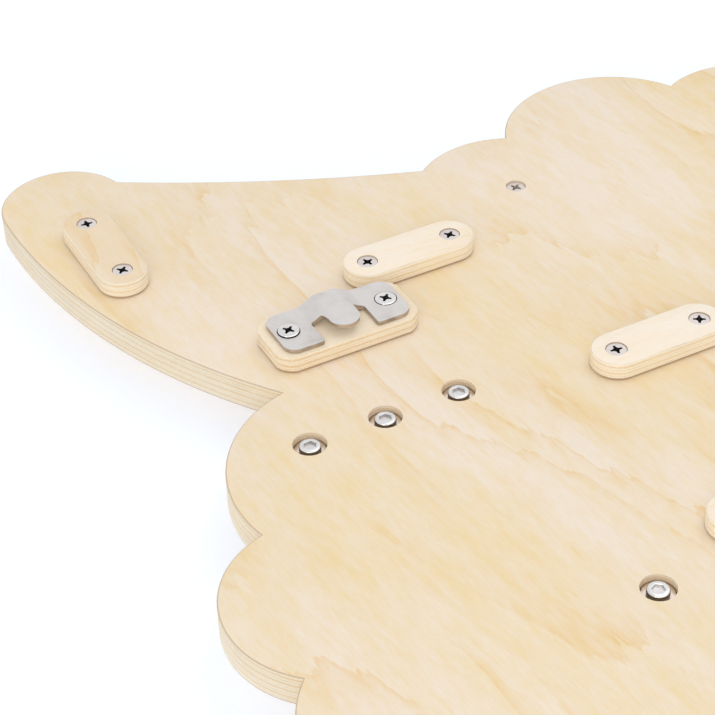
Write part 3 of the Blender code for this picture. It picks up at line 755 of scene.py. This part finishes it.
for block_name in BLOCK_NAMES:
    low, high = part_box(block_name)
    is_upright = high.z - low.z > high.x - low.x
    long_side = max(high.z - low.z, high.x - low.x)
    points = round_ended_bar((low + high) / 2, long_side, is_upright)
    blank = plate_mesh(points, high.y, low.y, BLOCK_ARRIS)
    materials = (block_edge, ear_veneer if is_upright else block_veneer, shaded_hole_wood)
    holes = [
        painted(screw_hole_mesh(block_name + "_screw_" + number), materials, BLOCK_HOLES_SLOT)
        for number in SCREW_NUMBERS
    ]
    mesh = bored(painted(blank, materials), holes)
    part_faces(mesh)
    finished_piece(block_name + "_wood", mesh, "board", block_name)


# Wood screws
# Bright countersunk screws with a cross recess, sunk a hair below the wood. Each was
# driven home at its own angle, and the recess is painted black inside, as its shade.
SCREW_RADIUS = 0.00375
SCREW_ROUNDING = ((0.00025, 0.0), (0.00007, 0.00007), (0.0, 0.00025))
SCREW_RIM = 0.0004
SCREW_CONE = 0.0021
SCREW_SHANK = 0.002
SHANK_LENGTH = 0.013
SCREW_LENGTH = 0.016
CROSS_QUARTER = (
    (0.00225, -0.00045), (0.00225, 0.00045), (0.00125, 0.00052), (0.00083, 0.00083), (0.00052, 0.00125),
)
CROSS_FLOOR_SHARE = 0.4
CROSS_DEPTH = 0.0017
STEEL_SLOT, RECESS_SLOT, WALL_SLOT = range(3)
STEEL_CREASE = 30
GOLDEN_TURN = math.radians(137.5)
SEEN_TURNS = {
    "ear_block_right_screw_1": 43,
    "ear_block_right_screw_2": 86,
    "upper_block_right_screw_1": 40,
    "upper_block_right_screw_2": 16,
    "middle_block_right_screw_1": 58,
    "middle_block_right_screw_2": 83,
    "forelock_screw_right": 30,
}
METAL_CLOUDS = ((130, 130, 130), 3, 0.6, 0.35, 0.75)
METAL_GRIT = ((2600, 2600, 2600), 2, 0.6)
METAL_SCRATCHES = ((300, 5200, 5200), 2, 0.5, 0.60, 0.80)
METAL_SMUDGES = ((95, 95, 95), 3, 0.6, 0.50, 0.70)
METAL_LOOK = {"Metallic": 1.0}
METAL_BUMP_DEPTH = 0.00005


def make_metal_group():
    """Plated or ground steel, faintly clouded and scratched, and not quite flat."""
    group, given = shared_group(
        "metal", Place="Vector", Light="Color", Dull="Color", Sheen="Float", Smudge="Float"
    )
    place = given["Place"]
    clouds = patches(place, METAL_CLOUDS)
    grit = noise(place, METAL_GRIT)
    scratches = patches(place, METAL_SCRATCHES)
    dull = weighed(0.0, (clouds, 0.7), (scratches, 0.25))
    colour = blend_colour(dull, given["Light"], given["Dull"])
    smudges = product(patches(place, METAL_SMUDGES), given["Smudge"])
    return with_outputs(
        group,
        Colour=blend_colour(smudges, colour, given["Dull"], "MULTIPLY"),
        Height=maths("ADD", grit, scratches),
        Roughness=weighed(given["Sheen"], (clouds, 0.12), (grit, 0.10)),
    )


METAL = make_metal_group()


def metal_material(name, light, dull, sheen, bump, smudge=0.0):
    material, tree = new_material(name)
    dress(
        tree, METAL, bump, METAL_BUMP_DEPTH, METAL_LOOK, Place=own_place(tree), Light=light, Dull=dull,
        Sheen=sheen, Smudge=smudge,
    )
    return material


bright_plate = metal_material("bright_plate", (0.76, 0.75, 0.75), (0.60, 0.59, 0.59), 0.14, 0.25)
screw_plate = metal_material("screw_plate", (0.74, 0.68, 0.665), (0.63, 0.575, 0.56), 0.26, 0.25)
dull_plate = metal_material("dull_plate", (0.72, 0.66, 0.62), (0.62, 0.56, 0.52), 0.34, 0.25)
# Painted shade for the cross recesses: near black in the bright screws, a dim brown in the forelock screw
dim_recess_shade = metal_material("dim_recess_shade", (0.46, 0.41, 0.36), (0.26, 0.22, 0.18), 0.45, 0.3)
recess_shade_black = metal_material("recess_shade_black", (0.035, 0.032, 0.032), (0.02, 0.018, 0.018), 0.45, 0.3)


def cross_punch(turn, place, materials):
    """The cross recess as a cutter: four arms that narrow to their tips, above a smaller floor."""
    quarters = [Matrix.Rotation(math.radians(90 * arm), 2) for arm in range(4)]
    star = [quarter @ Vector(corner) for quarter in quarters for corner in CROSS_QUARTER]
    punch = bmesh.new()
    rings = [
        [punch.verts.new((point.x * share, height, point.y * share)) for point in star]
        for share, height in ((1.0, CROSS_DEPTH / 2), (1.0, 0.0), (CROSS_FLOOR_SHARE, -CROSS_DEPTH))
    ]
    for upper, lower in zip(rings, rings[1:]):
        join_rings(punch, upper, lower)
    punch.faces.new(rings[0])
    punch.faces.new(rings[-1])
    bmesh.ops.recalc_face_normals(punch, faces=punch.faces)
    mesh = mesh_of(punch, "punch")
    mesh.transform(Matrix.Translation(place) @ Matrix.Rotation(turn, 4, "Y"))
    return painted(mesh, materials, RECESS_SLOT)


def shaded(mesh, angle=STEEL_CREASE):
    """Crisp edges where the mesh turns by more than the angle, and flats that stay flat beside round ones."""
    mesh.shade_smooth()
    mesh.set_sharp_from_angle(angle=math.radians(angle))
    piece = linked_object("shaded", mesh)
    even = piece.modifiers.new("even", "WEIGHTED_NORMAL")
    even.keep_sharp = True
    return settled(piece)


def cross_headed(profile, place, turn, materials):
    """A turned screw with a cross recess in the flat at its top. The second material is the recess's."""
    blank = painted(turned_mesh(profile, SCREW_STEPS, 1, place), materials)
    top = place + Vector((0, profile[0][1], 0))
    return shaded(bored(blank, [cross_punch(turn, top, materials)]))


def steel_piece(mesh, node):
    finished_piece(node + "_steel", mesh, "board", node)


wood_screw_nodes = [name + "_screw_" + number for name in BLOCK_NAMES for number in SCREW_NUMBERS]
wood_screw_nodes += ["forelock_screw_" + side for side in SIDES]
wood_screw_profile = [
    (0, 0), *((SCREW_RADIUS - inward, -down) for inward, down in SCREW_ROUNDING),
    (SCREW_RADIUS, -SCREW_RIM), (SCREW_SHANK, -SCREW_RIM - SCREW_CONE),
    (SCREW_SHANK, -SHANK_LENGTH), (0, -SCREW_LENGTH),
]
for index, node in enumerate(wood_screw_nodes):
    turn = math.radians(SEEN_TURNS[node]) if node in SEEN_TURNS else index * GOLDEN_TURN
    place = at_height(node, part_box(node)[1].y)
    finish = (dull_plate, dim_recess_shade) if "forelock" in node else (screw_plate, recess_shade_black)
    steel_piece(cross_headed(wood_screw_profile, place, turn, finish), node)


# Hanger pads
# A pad of the same 6.5 mm plywood under each hanger, a rectangle with its corners sawn
# off and sanded, held by the hanger's own two screws.
PAD_CORNER_CUT = 0.0055
PAD_CORNER_SWELL = 0.12
PAD_COLOURS = ((0.945, 0.845, 0.700), (0.920, 0.765, 0.545))
PAD_EDGE_COLOURS = ((0.985, 0.885, 0.700), (0.830, 0.630, 0.380))

pad_veneer = veneer_face("pad_veneer", PAD_COLOURS, figure=0.4, turn=LEVEL_GRAIN, shift=(0.37, 0.1, 0.7))
pad_edge = ply_edge("pad_edge", PAD_EDGE_COLOURS, block_back, BLOCK_SHEET, BLOCK_RIM, PLY_FOOT_SHADE)


def cut_cornered_rectangle(low, high, cut, swell):
    """The outline of a rectangle whose corners are cut off by slightly round lines."""
    left, right, foot, top = low.x, high.x, low.z, high.z
    corners = [
        (left + cut, top, swell), (right - cut, top, 0), (right, top - cut, swell), (right, foot + cut, 0),
        (right - cut, foot, swell), (left + cut, foot, 0), (left, foot + cut, swell), (left, top - cut, 0),
    ]
    return outline_points(corners)


for side in SIDES:
    low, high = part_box("hanger_pad_" + side)
    points = cut_cornered_rectangle(low, high, PAD_CORNER_CUT, PAD_CORNER_SWELL)
    blank = plate_mesh(points, high.y, low.y, BLOCK_ARRIS)
    holes = [screw_hole_mesh("hanger_screw_" + side + "_" + number) for number in SCREW_NUMBERS]
    mesh = bored(blank, holes)
    part_faces(mesh)
    name = "hanger_pad_wood_" + side
    finished_piece(name, mesh, "board", "hanger_pad_" + side, (pad_edge, pad_veneer))


# Hangers
# A plate of 1.5 mm stainless sheet, stamped out and pressed up in the middle, so that
# its tongue stands off the pad and hooks over a twin plate on the wall.
STEEL_GAUGE = 0.0015
HUMP_RISE = 0.0033
HUMP_FOOT = 0.0110
HUMP_FLAT = 0.0030
HUMP_STEPS = 20
TONGUE_WIDTH = 0.011
TONGUE_TIP = 0.0110
TONGUE_REACH = 0.0058
TONGUE_FLATNESS = 0.75
TONGUE_FLAT_FROM = 0.005
TONGUE_STEPS = 10
LEG_GAP = 0.021
LEG_CORNER = 0.0012
PLATE_CORNER = 0.005
NOTCH_TOP = 0.0001
NOTCH_CORNER = 0.001
SHEET_ARRIS = 0.00018
SHEET_ARRIS_SEGMENTS = 2
SHEET_RIM_ANGLE = math.radians(60)
SAME_POINT = 1e-7
PLATE_HOLE_RADIUS = 0.0042
PLATE_HOLE_RIM = 0.0008
QUARTER_ARC = math.tan(math.pi / 8) / 2
HANGER_CREASE = 22
SHEARED_SLOT = 1

satin_sheet = metal_material("satin_sheet", (0.66, 0.635, 0.625), (0.595, 0.57, 0.555), 0.42, 0.35, 0.30)
sheared_edge = metal_material("sheared_edge", (0.58, 0.50, 0.42), (0.34, 0.27, 0.20), 0.40, 0.6, 0.5)
hanger_materials = (satin_sheet, sheared_edge)


def hanger_outline(half_width, top, foot):
    leg = LEG_GAP / 2
    tongue = TONGUE_WIDTH / 2
    notch_side = NOTCH_TOP - NOTCH_CORNER
    right = [
        (0, top, 0),
        (half_width - PLATE_CORNER, top, 0), (half_width, top - PLATE_CORNER, QUARTER_ARC),
        (half_width, foot + PLATE_CORNER, 0), (half_width - PLATE_CORNER, foot, QUARTER_ARC),
        (leg + LEG_CORNER, foot, 0), (leg, foot + LEG_CORNER, QUARTER_ARC),
        (leg, notch_side, 0), (leg - NOTCH_CORNER, NOTCH_TOP, -QUARTER_ARC),
        (tongue + NOTCH_CORNER, NOTCH_TOP, 0), (tongue, notch_side, -QUARTER_ARC),
        (tongue, -TONGUE_TIP + tongue, 0), (0, -TONGUE_TIP, QUARTER_ARC),
    ]
    return outline_points(mirrored_corners(right))


def soft_step(share):
    share = min(max(share, 0), 1)
    return share * share * (3 - 2 * share)


def hump_height(x, z):
    """How far the pressed steel stands up, x from the plate's middle line. The tongue is pressed flatter."""
    hump = soft_step((HUMP_FOOT - abs(x)) / (HUMP_FOOT - HUMP_FLAT))
    flatter = TONGUE_FLATNESS * soft_step(-z / TONGUE_FLAT_FROM) if abs(x) < TONGUE_REACH else 0
    return HUMP_RISE * (hump + (1 - hump) * flatter)


def pressed_sheet_mesh(points, place):
    """The stamped outline, creased at each step of the hump, pressed up, and given its thickness."""
    sheet = bmesh.new()
    sheet.faces.new([sheet.verts.new((point.x, 0, point.y)) for point in points])
    steps = [HUMP_FLAT + (HUMP_FOOT - HUMP_FLAT) * i / HUMP_STEPS for i in range(HUMP_STEPS + 1)]
    creases = [((x, 0, 0), (1, 0, 0)) for x in [-step for step in steps] + steps]
    creases += [((0, 0, -TONGUE_TIP * i / TONGUE_STEPS), (0, 0, 1)) for i in range(TONGUE_STEPS)]
    for at, across in creases:
        everything = sheet.verts[:] + sheet.edges[:] + sheet.faces[:]
        bmesh.ops.bisect_plane(sheet, geom=everything, dist=SAME_POINT, plane_co=at, plane_no=across)
    for corner in sheet.verts:
        corner.co.y = hump_height(corner.co.x, corner.co.z)
    bmesh.ops.recalc_face_normals(sheet, faces=sheet.faces)
    if sheet.faces[:][0].normal.y < 0:
        bmesh.ops.reverse_faces(sheet, faces=sheet.faces)
    piece = linked_object("sheet", painted(mesh_of(sheet, "sheet"), hanger_materials))
    gauge = piece.modifiers.new("gauge", "SOLIDIFY")
    gauge.thickness = STEEL_GAUGE
    gauge.offset = 1
    gauge.use_even_offset = True
    gauge.material_offset_rim = SHEARED_SLOT
    arris = piece.modifiers.new("arris", "BEVEL")
    arris.width = SHEET_ARRIS
    arris.segments = SHEET_ARRIS_SEGMENTS
    arris.limit_method = "ANGLE"
    arris.angle_limit = SHEET_RIM_ANGLE
    arris.material = SHEARED_SLOT
    result = settled(piece)
    result.transform(Matrix.Translation(place))
    return result


for side in SIDES:
    node = "hanger_bracket_" + side
    low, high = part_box(node)
    place = Vector(((low.x + high.x) / 2, low.y, 0))
    points = hanger_outline((high.x - low.x) / 2, high.z, low.z)
    holes = [
        screw_hole_mesh("hanger_screw_" + side + "_" + number, PLATE_HOLE_RADIUS, PLATE_HOLE_RIM)
        for number in SCREW_NUMBERS
    ]
    holes = [painted(hole, hanger_materials, SHEARED_SLOT) for hole in holes]
    mesh = bored(pressed_sheet_mesh(points, place), holes)
    mesh = shaded(kept_inside(mesh, node), HANGER_CREASE)
    finished_piece("hanger_" + side, mesh, "board", node)


# Hanger screws
# The same bright countersunk screws with a cross recess, in countersunk holes of the
# steel plate. Their heads stand a little proud of it, and their sides are painted black as the
# shade of the gap round them.
PLATE_SCREW_RADIUS = 0.0039
PLATE_SCREW_CROWN = ((0.0004, 0.00004), (0.0001, 0.00016), (0.0, 0.0003), (0.0, 0.0009))
PLATE_SCREW_CONE = 0.0028
PLATE_SCREW_TURNS = {"hanger_screw_right_1": 45, "hanger_screw_right_2": 38}
PLATE_SCREW_EXTRA_RISE = {"hanger_screw_right_2": 0.0003, "hanger_screw_left_1": 0.0002}
RIM_NORMAL = 0.5

plate_screw_nodes = ["hanger_screw_" + side + "_" + number for side in SIDES for number in SCREW_NUMBERS]
plate_screw_profile = [
    (0, 0), *((PLATE_SCREW_RADIUS - inward, -down) for inward, down in PLATE_SCREW_CROWN),
    (SCREW_SHANK, -PLATE_SCREW_CONE), (SCREW_SHANK, -SHANK_LENGTH), (0, -SCREW_LENGTH),
]
for index, node in enumerate(plate_screw_nodes):
    turn = math.radians(PLATE_SCREW_TURNS[node]) if node in PLATE_SCREW_TURNS else index * GOLDEN_TURN
    place = at_height(node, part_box(node)[1].y + PLATE_SCREW_EXTRA_RISE.get(node, 0))
    mesh = cross_headed(plate_screw_profile, place, turn, (bright_plate, recess_shade_black))
    # The head's side and all below it are painted black, as the shade in the gap round the head
    for face in mesh.polygons:
        if face.material_index == STEEL_SLOT and face.normal.y < RIM_NORMAL:
            face.material_index = RECESS_SLOT
    steel_piece(mesh, node)


# Bolts and washers
# Button-head bolts with a six-sided socket, each on a wide bright washer that almost
# fills its counterbore. The bolts go through the panel into the barrel nuts.
HEX_RADIUS = 0.00225
HEX_DEPTH = 0.0010
HEX_CHAMFER = 0.0002
HEX_FLOOR_SHARE = 1.15
WALL_NORMAL = 0.35
SEEN_BOLT_TURNS = {
    "small_disc_inner": 3, "small_disc_middle": 6, "small_disc_outer": 0, "scalloped_wheel_right": 22,
}
BUTTON_RADIUS = 0.0038
BUTTON_HEIGHT = 0.0022
BUTTON_DOME = (
    (0.0, 1.0), (0.70, 1.0), (0.80, 0.985), (0.88, 0.95), (0.94, 0.89), (0.98, 0.80), (1.0, 0.68),
    (1.0, 0.08), (0.98, 0.0),
)
BOLT_RADIUS = 0.002
BOLT_LENGTH = 0.010
BOLT_STEPS = 56
WASHER_HOLE_RADIUS = 0.0023
WASHER_RADIUS = 0.0057
WASHER_ARRIS = 0.00015
WASHER_STEPS = 64

# Painted shade: a darker steel for the socket walls, and a dark brown one for the head's side
shaded_steel = metal_material("shaded_steel", (0.56, 0.53, 0.50), (0.40, 0.37, 0.34), 0.30, 0.3)
side_shade_steel = metal_material("side_shade_steel", (0.26, 0.22, 0.18), (0.16, 0.13, 0.10), 0.35, 0.3)
washer_plate = metal_material("washer_plate", (0.80, 0.72, 0.66), (0.66, 0.59, 0.53), 0.16, 0.25)
bolt_steels = (bright_plate, shaded_steel, side_shade_steel)


def hex_socket(radius, depth, facing, place, turn):
    """A six-sided socket with a little chamfer at its mouth, as a cutter."""
    profile = [
        (0, depth), (radius + HEX_CHAMFER + depth, depth), (radius, -HEX_CHAMFER),
        (radius, -depth), (0, -depth * HEX_FLOOR_SHARE),
    ]
    socket = turned_mesh(profile, 6, facing, Vector((0, 0, 0)))
    socket.transform(Matrix.Translation(place) @ Matrix.Rotation(turn, 4, "Y"))
    return painted(socket, bolt_steels, RECESS_SLOT)


def socket_headed(profile, facing, place, radius, depth, turn):
    """A turned bolt or nut with a six-sided socket. Its flats are bright, and its socket walls and side
    are painted darker, as shade.
    """
    blank = painted(turned_mesh(profile, BOLT_STEPS, facing, place), bolt_steels)
    top = place + Vector((0, facing * profile[0][1], 0))
    mesh = bored(blank, [hex_socket(radius, depth, facing, top, turn)])
    for face in mesh.polygons:
        if abs(face.normal.y) >= WALL_NORMAL:
            face.material_index = STEEL_SLOT
        elif face.material_index == STEEL_SLOT:
            face.material_index = WALL_SLOT
    return shaded(mesh)


for index, name in enumerate(TURNING_NAMES):
    node = "bolt_" + name
    place = at_height(node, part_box(node)[1].y - BUTTON_HEIGHT)
    profile = [(across * BUTTON_RADIUS, up * BUTTON_HEIGHT) for across, up in BUTTON_DOME]
    profile += [(BOLT_RADIUS, 0), (BOLT_RADIUS, -BOLT_LENGTH), (0, -BOLT_LENGTH)]
    turn = math.radians(SEEN_BOLT_TURNS[name]) if name in SEEN_BOLT_TURNS else index * GOLDEN_TURN
    steel_piece(socket_headed(profile, 1, place, HEX_RADIUS, HEX_DEPTH, turn), node)
    node = "washer_" + name
    low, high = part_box(node)
    thickness = high.y - low.y
    ring = [
        (WASHER_HOLE_RADIUS, thickness), (WASHER_RADIUS - WASHER_ARRIS, thickness),
        (WASHER_RADIUS, thickness - WASHER_ARRIS), (WASHER_RADIUS, 0), (WASHER_HOLE_RADIUS, 0),
    ]
    mesh = painted(turned_mesh(ring, WASHER_STEPS, 1, at_height(node, low.y)), (washer_plate,))
    steel_piece(shaded(mesh), node)


# Barrel nuts
# Bright flat-headed barrel nuts with a six-sided socket, put in from the front. Each
# nut's 6 mm barrel is the axle of a disc or a wheel, and its bolt screws into it.
NUT_HEAD_RADIUS = 0.0065
NUT_HEAD_HEIGHT = 0.0018
NUT_DOME = (
    (0.0, 1.0), (0.62, 1.0), (0.76, 0.97), (0.88, 0.84), (0.96, 0.62), (1.0, 0.36), (1.0, 0.08), (0.985, 0.0),
)
NUT_SOCKET_RADIUS = 0.0023
NUT_SOCKET_DEPTH = 0.0012
NUT_BARREL_RADIUS = 0.003
NUT_BORE_DEPTH = 0.0055

for index, name in enumerate(TURNING_NAMES):
    node = "nut_" + name
    low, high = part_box(node)
    seat = low.y + NUT_HEAD_HEIGHT
    barrel = high.y - seat
    profile = [(across * NUT_HEAD_RADIUS, up * NUT_HEAD_HEIGHT) for across, up in NUT_DOME]
    profile += [(NUT_BARREL_RADIUS, 0), (NUT_BARREL_RADIUS, -barrel), (WASHER_HOLE_RADIUS, -barrel)]
    profile += [(WASHER_HOLE_RADIUS, -barrel + NUT_BORE_DEPTH), (0, -barrel + NUT_BORE_DEPTH)]
    place = at_height(node, seat)
    mesh = socket_headed(profile, -1, place, NUT_SOCKET_RADIUS, NUT_SOCKET_DEPTH, index * GOLDEN_TURN)
    steel_piece(mesh, node)


# Forelock
# A plain cloud-shaped plate of 6 mm plywood on the front, held from behind by one screw
# at each side. The photograph shows only one of those screws.
FORELOCK_TOP = 0.098
FORELOCK_HALF_WIDTH = 0.078
FORELOCK_HEIGHT = 0.104
FORELOCK_SHARES = (
    (0.0, 0.0, 0.0),
    (0.423, -0.212, 0.151),
    (1.0, -0.375, 0.160),
    (0.760, -0.712, 0.300),
    (0.285, -0.830, 0.300),
    (0.0, -1.0, 0.176),
)
FORELOCK_ARRIS = 0.0008
FORELOCK_SHEET = (0.0012, 5)
FRONT_FIGURE = 0.6

low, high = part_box("forelock_plate")
forelock_edge = ply_edge("forelock_edge", BLOCK_EDGE_COLOURS, high.y, FORELOCK_SHEET, BLOCK_RIM)
forelock_veneer = veneer_face(
    "forelock_veneer", PAD_COLOURS, FRONT_FIGURE, UPRIGHT_GRAIN, shift=(0.71, 0.3, 0.9)
)
forelock_right = [
    (x * FORELOCK_HALF_WIDTH, FORELOCK_TOP + z * FORELOCK_HEIGHT, swell) for x, z, swell in FORELOCK_SHARES
]
blank = plate_mesh(outline_points(mirrored_corners(forelock_right)), high.y, low.y, FORELOCK_ARRIS)
mesh = bored(blank, [screw_hole_mesh("forelock_screw_" + side) for side in SIDES])
part_faces(mesh)
finished_piece("forelock", mesh, "board", "forelock_plate", (forelock_edge, forelock_veneer))


# Turned discs
# Solid beech, faced and rounded on a lathe, with a shallow groove turned into the front,
# a recess for the nut's head, and a boss behind that keeps each disc off the panel.
DISC_THICKNESS = 0.010
DISC_SOFT = 0.0015
DISC_RECESS_RADIUS = 0.0068
DISC_RECESS_DEPTH = 0.0021
DISC_BORE_RADIUS = 0.0033
DISC_BOSS_RADIUS = 0.006
DISC_BOSS_HEIGHT = 0.001
DISC_GROOVE_SHARE = 0.74
DISC_GROOVE = 0.0005
DISC_STEPS = 128
DISC_CREASE = 25
DISC_BODIES = {
    "small_disc_inner": "inner_disc",
    "small_disc_middle": "middle_disc",
    "small_disc_outer": "outer_disc",
    "large_disc": "big_disc",
}
BEECH_BANDS = ((38, 5, 30), 2, 0.4)
BEECH_STREAKS = ((420, 22, 200), 4, 0.6)
BEECH_FLECKS = ((1500, 420, 900), 2, 0.5, 0.62, 0.72)
BAND_COUNT = 6.0
BAND_DEEPENING = 2.0
ROSY_LEVELS = (0.3, 0.75)
FLECK_SHARE = 0.45
BEECH_ROUGHNESS = 0.38
BEECH_COLOURS = {"Light": (0.76, 0.56, 0.36), "Rosy": (0.64, 0.41, 0.24), "Fleck": (0.34, 0.18, 0.09)}
BEECH_BUMP = 0.15


def make_beech_group():
    """Oiled beech cut along the grain: rosy tan, with broad bands and many short dark flecks."""
    group, given = shared_group("beech", Place="Vector", Light="Color", Rosy="Color", Fleck="Color")
    place = given["Place"]
    bands = maths("FRACT", product(noise(place, BEECH_BANDS), BAND_COUNT))
    bands = maths("POWER", bands, BAND_DEEPENING)
    streaks = noise(place, BEECH_STREAKS)
    rosy = weighed(0.0, (bands, 0.45), (fade(streaks, *ROSY_LEVELS), 0.5))
    colour = blend_colour(rosy, given["Light"], given["Rosy"])
    flecks = patches(place, BEECH_FLECKS)
    return with_outputs(
        group,
        Colour=blend_colour(product(flecks, FLECK_SHARE), colour, given["Fleck"]),
        Height=maths("SUBTRACT", streaks, flecks),
        Roughness=weighed(BEECH_ROUGHNESS, (streaks, 0.15)),
    )


BEECH = make_beech_group()


def beech_material(name, shift, turn):
    material, tree = new_material(name)
    place = grain_place(tree, turn, shift)
    dress(tree, BEECH, BEECH_BUMP, WOOD_BUMP_DEPTH, {}, Place=place, **BEECH_COLOURS)
    return material


def disc_profile(radius, thickness):
    """A disc's turned profile from its recess round to its bore, with quarter-round edges."""
    quarter = [math.radians(step) for step in range(0, 91, 15)]
    floor = thickness - DISC_RECESS_DEPTH
    groove = radius * DISC_GROOVE_SHARE
    front_edge = [
        (radius - DISC_SOFT * (1 - math.sin(a)), thickness - DISC_SOFT * (1 - math.cos(a))) for a in quarter
    ]
    back_edge = [(across, thickness - height) for across, height in reversed(front_edge)]
    return [
        (DISC_BORE_RADIUS, floor), (DISC_RECESS_RADIUS, floor),
        (DISC_RECESS_RADIUS, thickness - DISC_GROOVE / 2),
        (DISC_RECESS_RADIUS + DISC_GROOVE / 2, thickness),
        (groove - DISC_GROOVE, thickness), (groove, thickness - DISC_GROOVE),
        (groove + DISC_GROOVE, thickness),
        *front_edge, *back_edge,
        (DISC_BOSS_RADIUS, 0), (DISC_BOSS_RADIUS, -DISC_BOSS_HEIGHT), (DISC_BORE_RADIUS, -DISC_BOSS_HEIGHT),
    ]


for index, (node, body) in enumerate(DISC_BODIES.items()):
    low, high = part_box(node)
    profile = disc_profile((high.z - low.z) / 2, DISC_THICKNESS)
    mesh = turned_mesh(profile, DISC_STEPS, -1, at_height(node, high.y - DISC_BOSS_HEIGHT))
    wood = beech_material(node + "_beech", (0.3 * index, 0.2 * index, 0.1 * index), index * GOLDEN_TURN)
    finished_piece(node + "_wood", shaded(mesh, DISC_CREASE), body, node, (wood,))


# Scalloped wheels
# Eight-lobed wheels sawn from the same 12 mm plywood as the panel, with rounded edges, a
# recess for the nut's head and a boss behind.
WHEEL_RADIUS = 0.038
WHEEL_LOBE_DEPTH = 0.003
WHEEL_LOBES = 8
WHEEL_STEPS_PER_LOBE = 24
WHEEL_THICKNESS = 0.012
WHEEL_ARRIS = 0.0012
WHEEL_BODIES = {"scalloped_wheel_left": "left_wheel", "scalloped_wheel_right": "right_wheel"}


def wheel_outline(centre):
    count = WHEEL_LOBES * WHEEL_STEPS_PER_LOBE
    points = []
    for index in range(count):
        angle = -2 * math.pi * index / count
        swing_out = abs(math.cos(angle * WHEEL_LOBES / 2))
        radius = WHEEL_RADIUS - WHEEL_LOBE_DEPTH * (1 - swing_out)
        points.append(Vector((centre.x + radius * math.cos(angle), centre.z + radius * math.sin(angle))))
    return points


# The boss starts a little inside its wheel, so that the two join
boss_profile = stepped_profile(DISC_BOSS_HEIGHT, (DISC_BOSS_RADIUS, -DISC_BOSS_HEIGHT))
hole_profile = stepped_profile(
    WHEEL_THICKNESS + OVERRUN,
    (DISC_RECESS_RADIUS, WHEEL_THICKNESS - DISC_RECESS_DEPTH),
    (DISC_BORE_RADIUS, -OVERRUN),
)
for node, body in WHEEL_BODIES.items():
    low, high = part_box(node)
    back = high.y - DISC_BOSS_HEIGHT
    blank = plate_mesh(wheel_outline((low + high) / 2), back, low.y, WHEEL_ARRIS)
    place = at_height(node, back)
    blank = bored(blank, [turned_mesh(boss_profile, BORE_STEPS, -1, place)], "UNION")
    mesh = bored(blank, [turned_mesh(hole_profile, BORE_STEPS, -1, place)])
    part_faces(mesh)
    edge = ply_edge(node + "_edge", BLOCK_EDGE_COLOURS, back, PANEL_SHEET, BLOCK_RIM)
    face = veneer_face(node + "_veneer", PAD_COLOURS, FRONT_FIGURE, UPRIGHT_GRAIN, (high.x, 0.6, 1.3))
    finished_piece(node + "_wood", mesh, body, node, (edge, face))
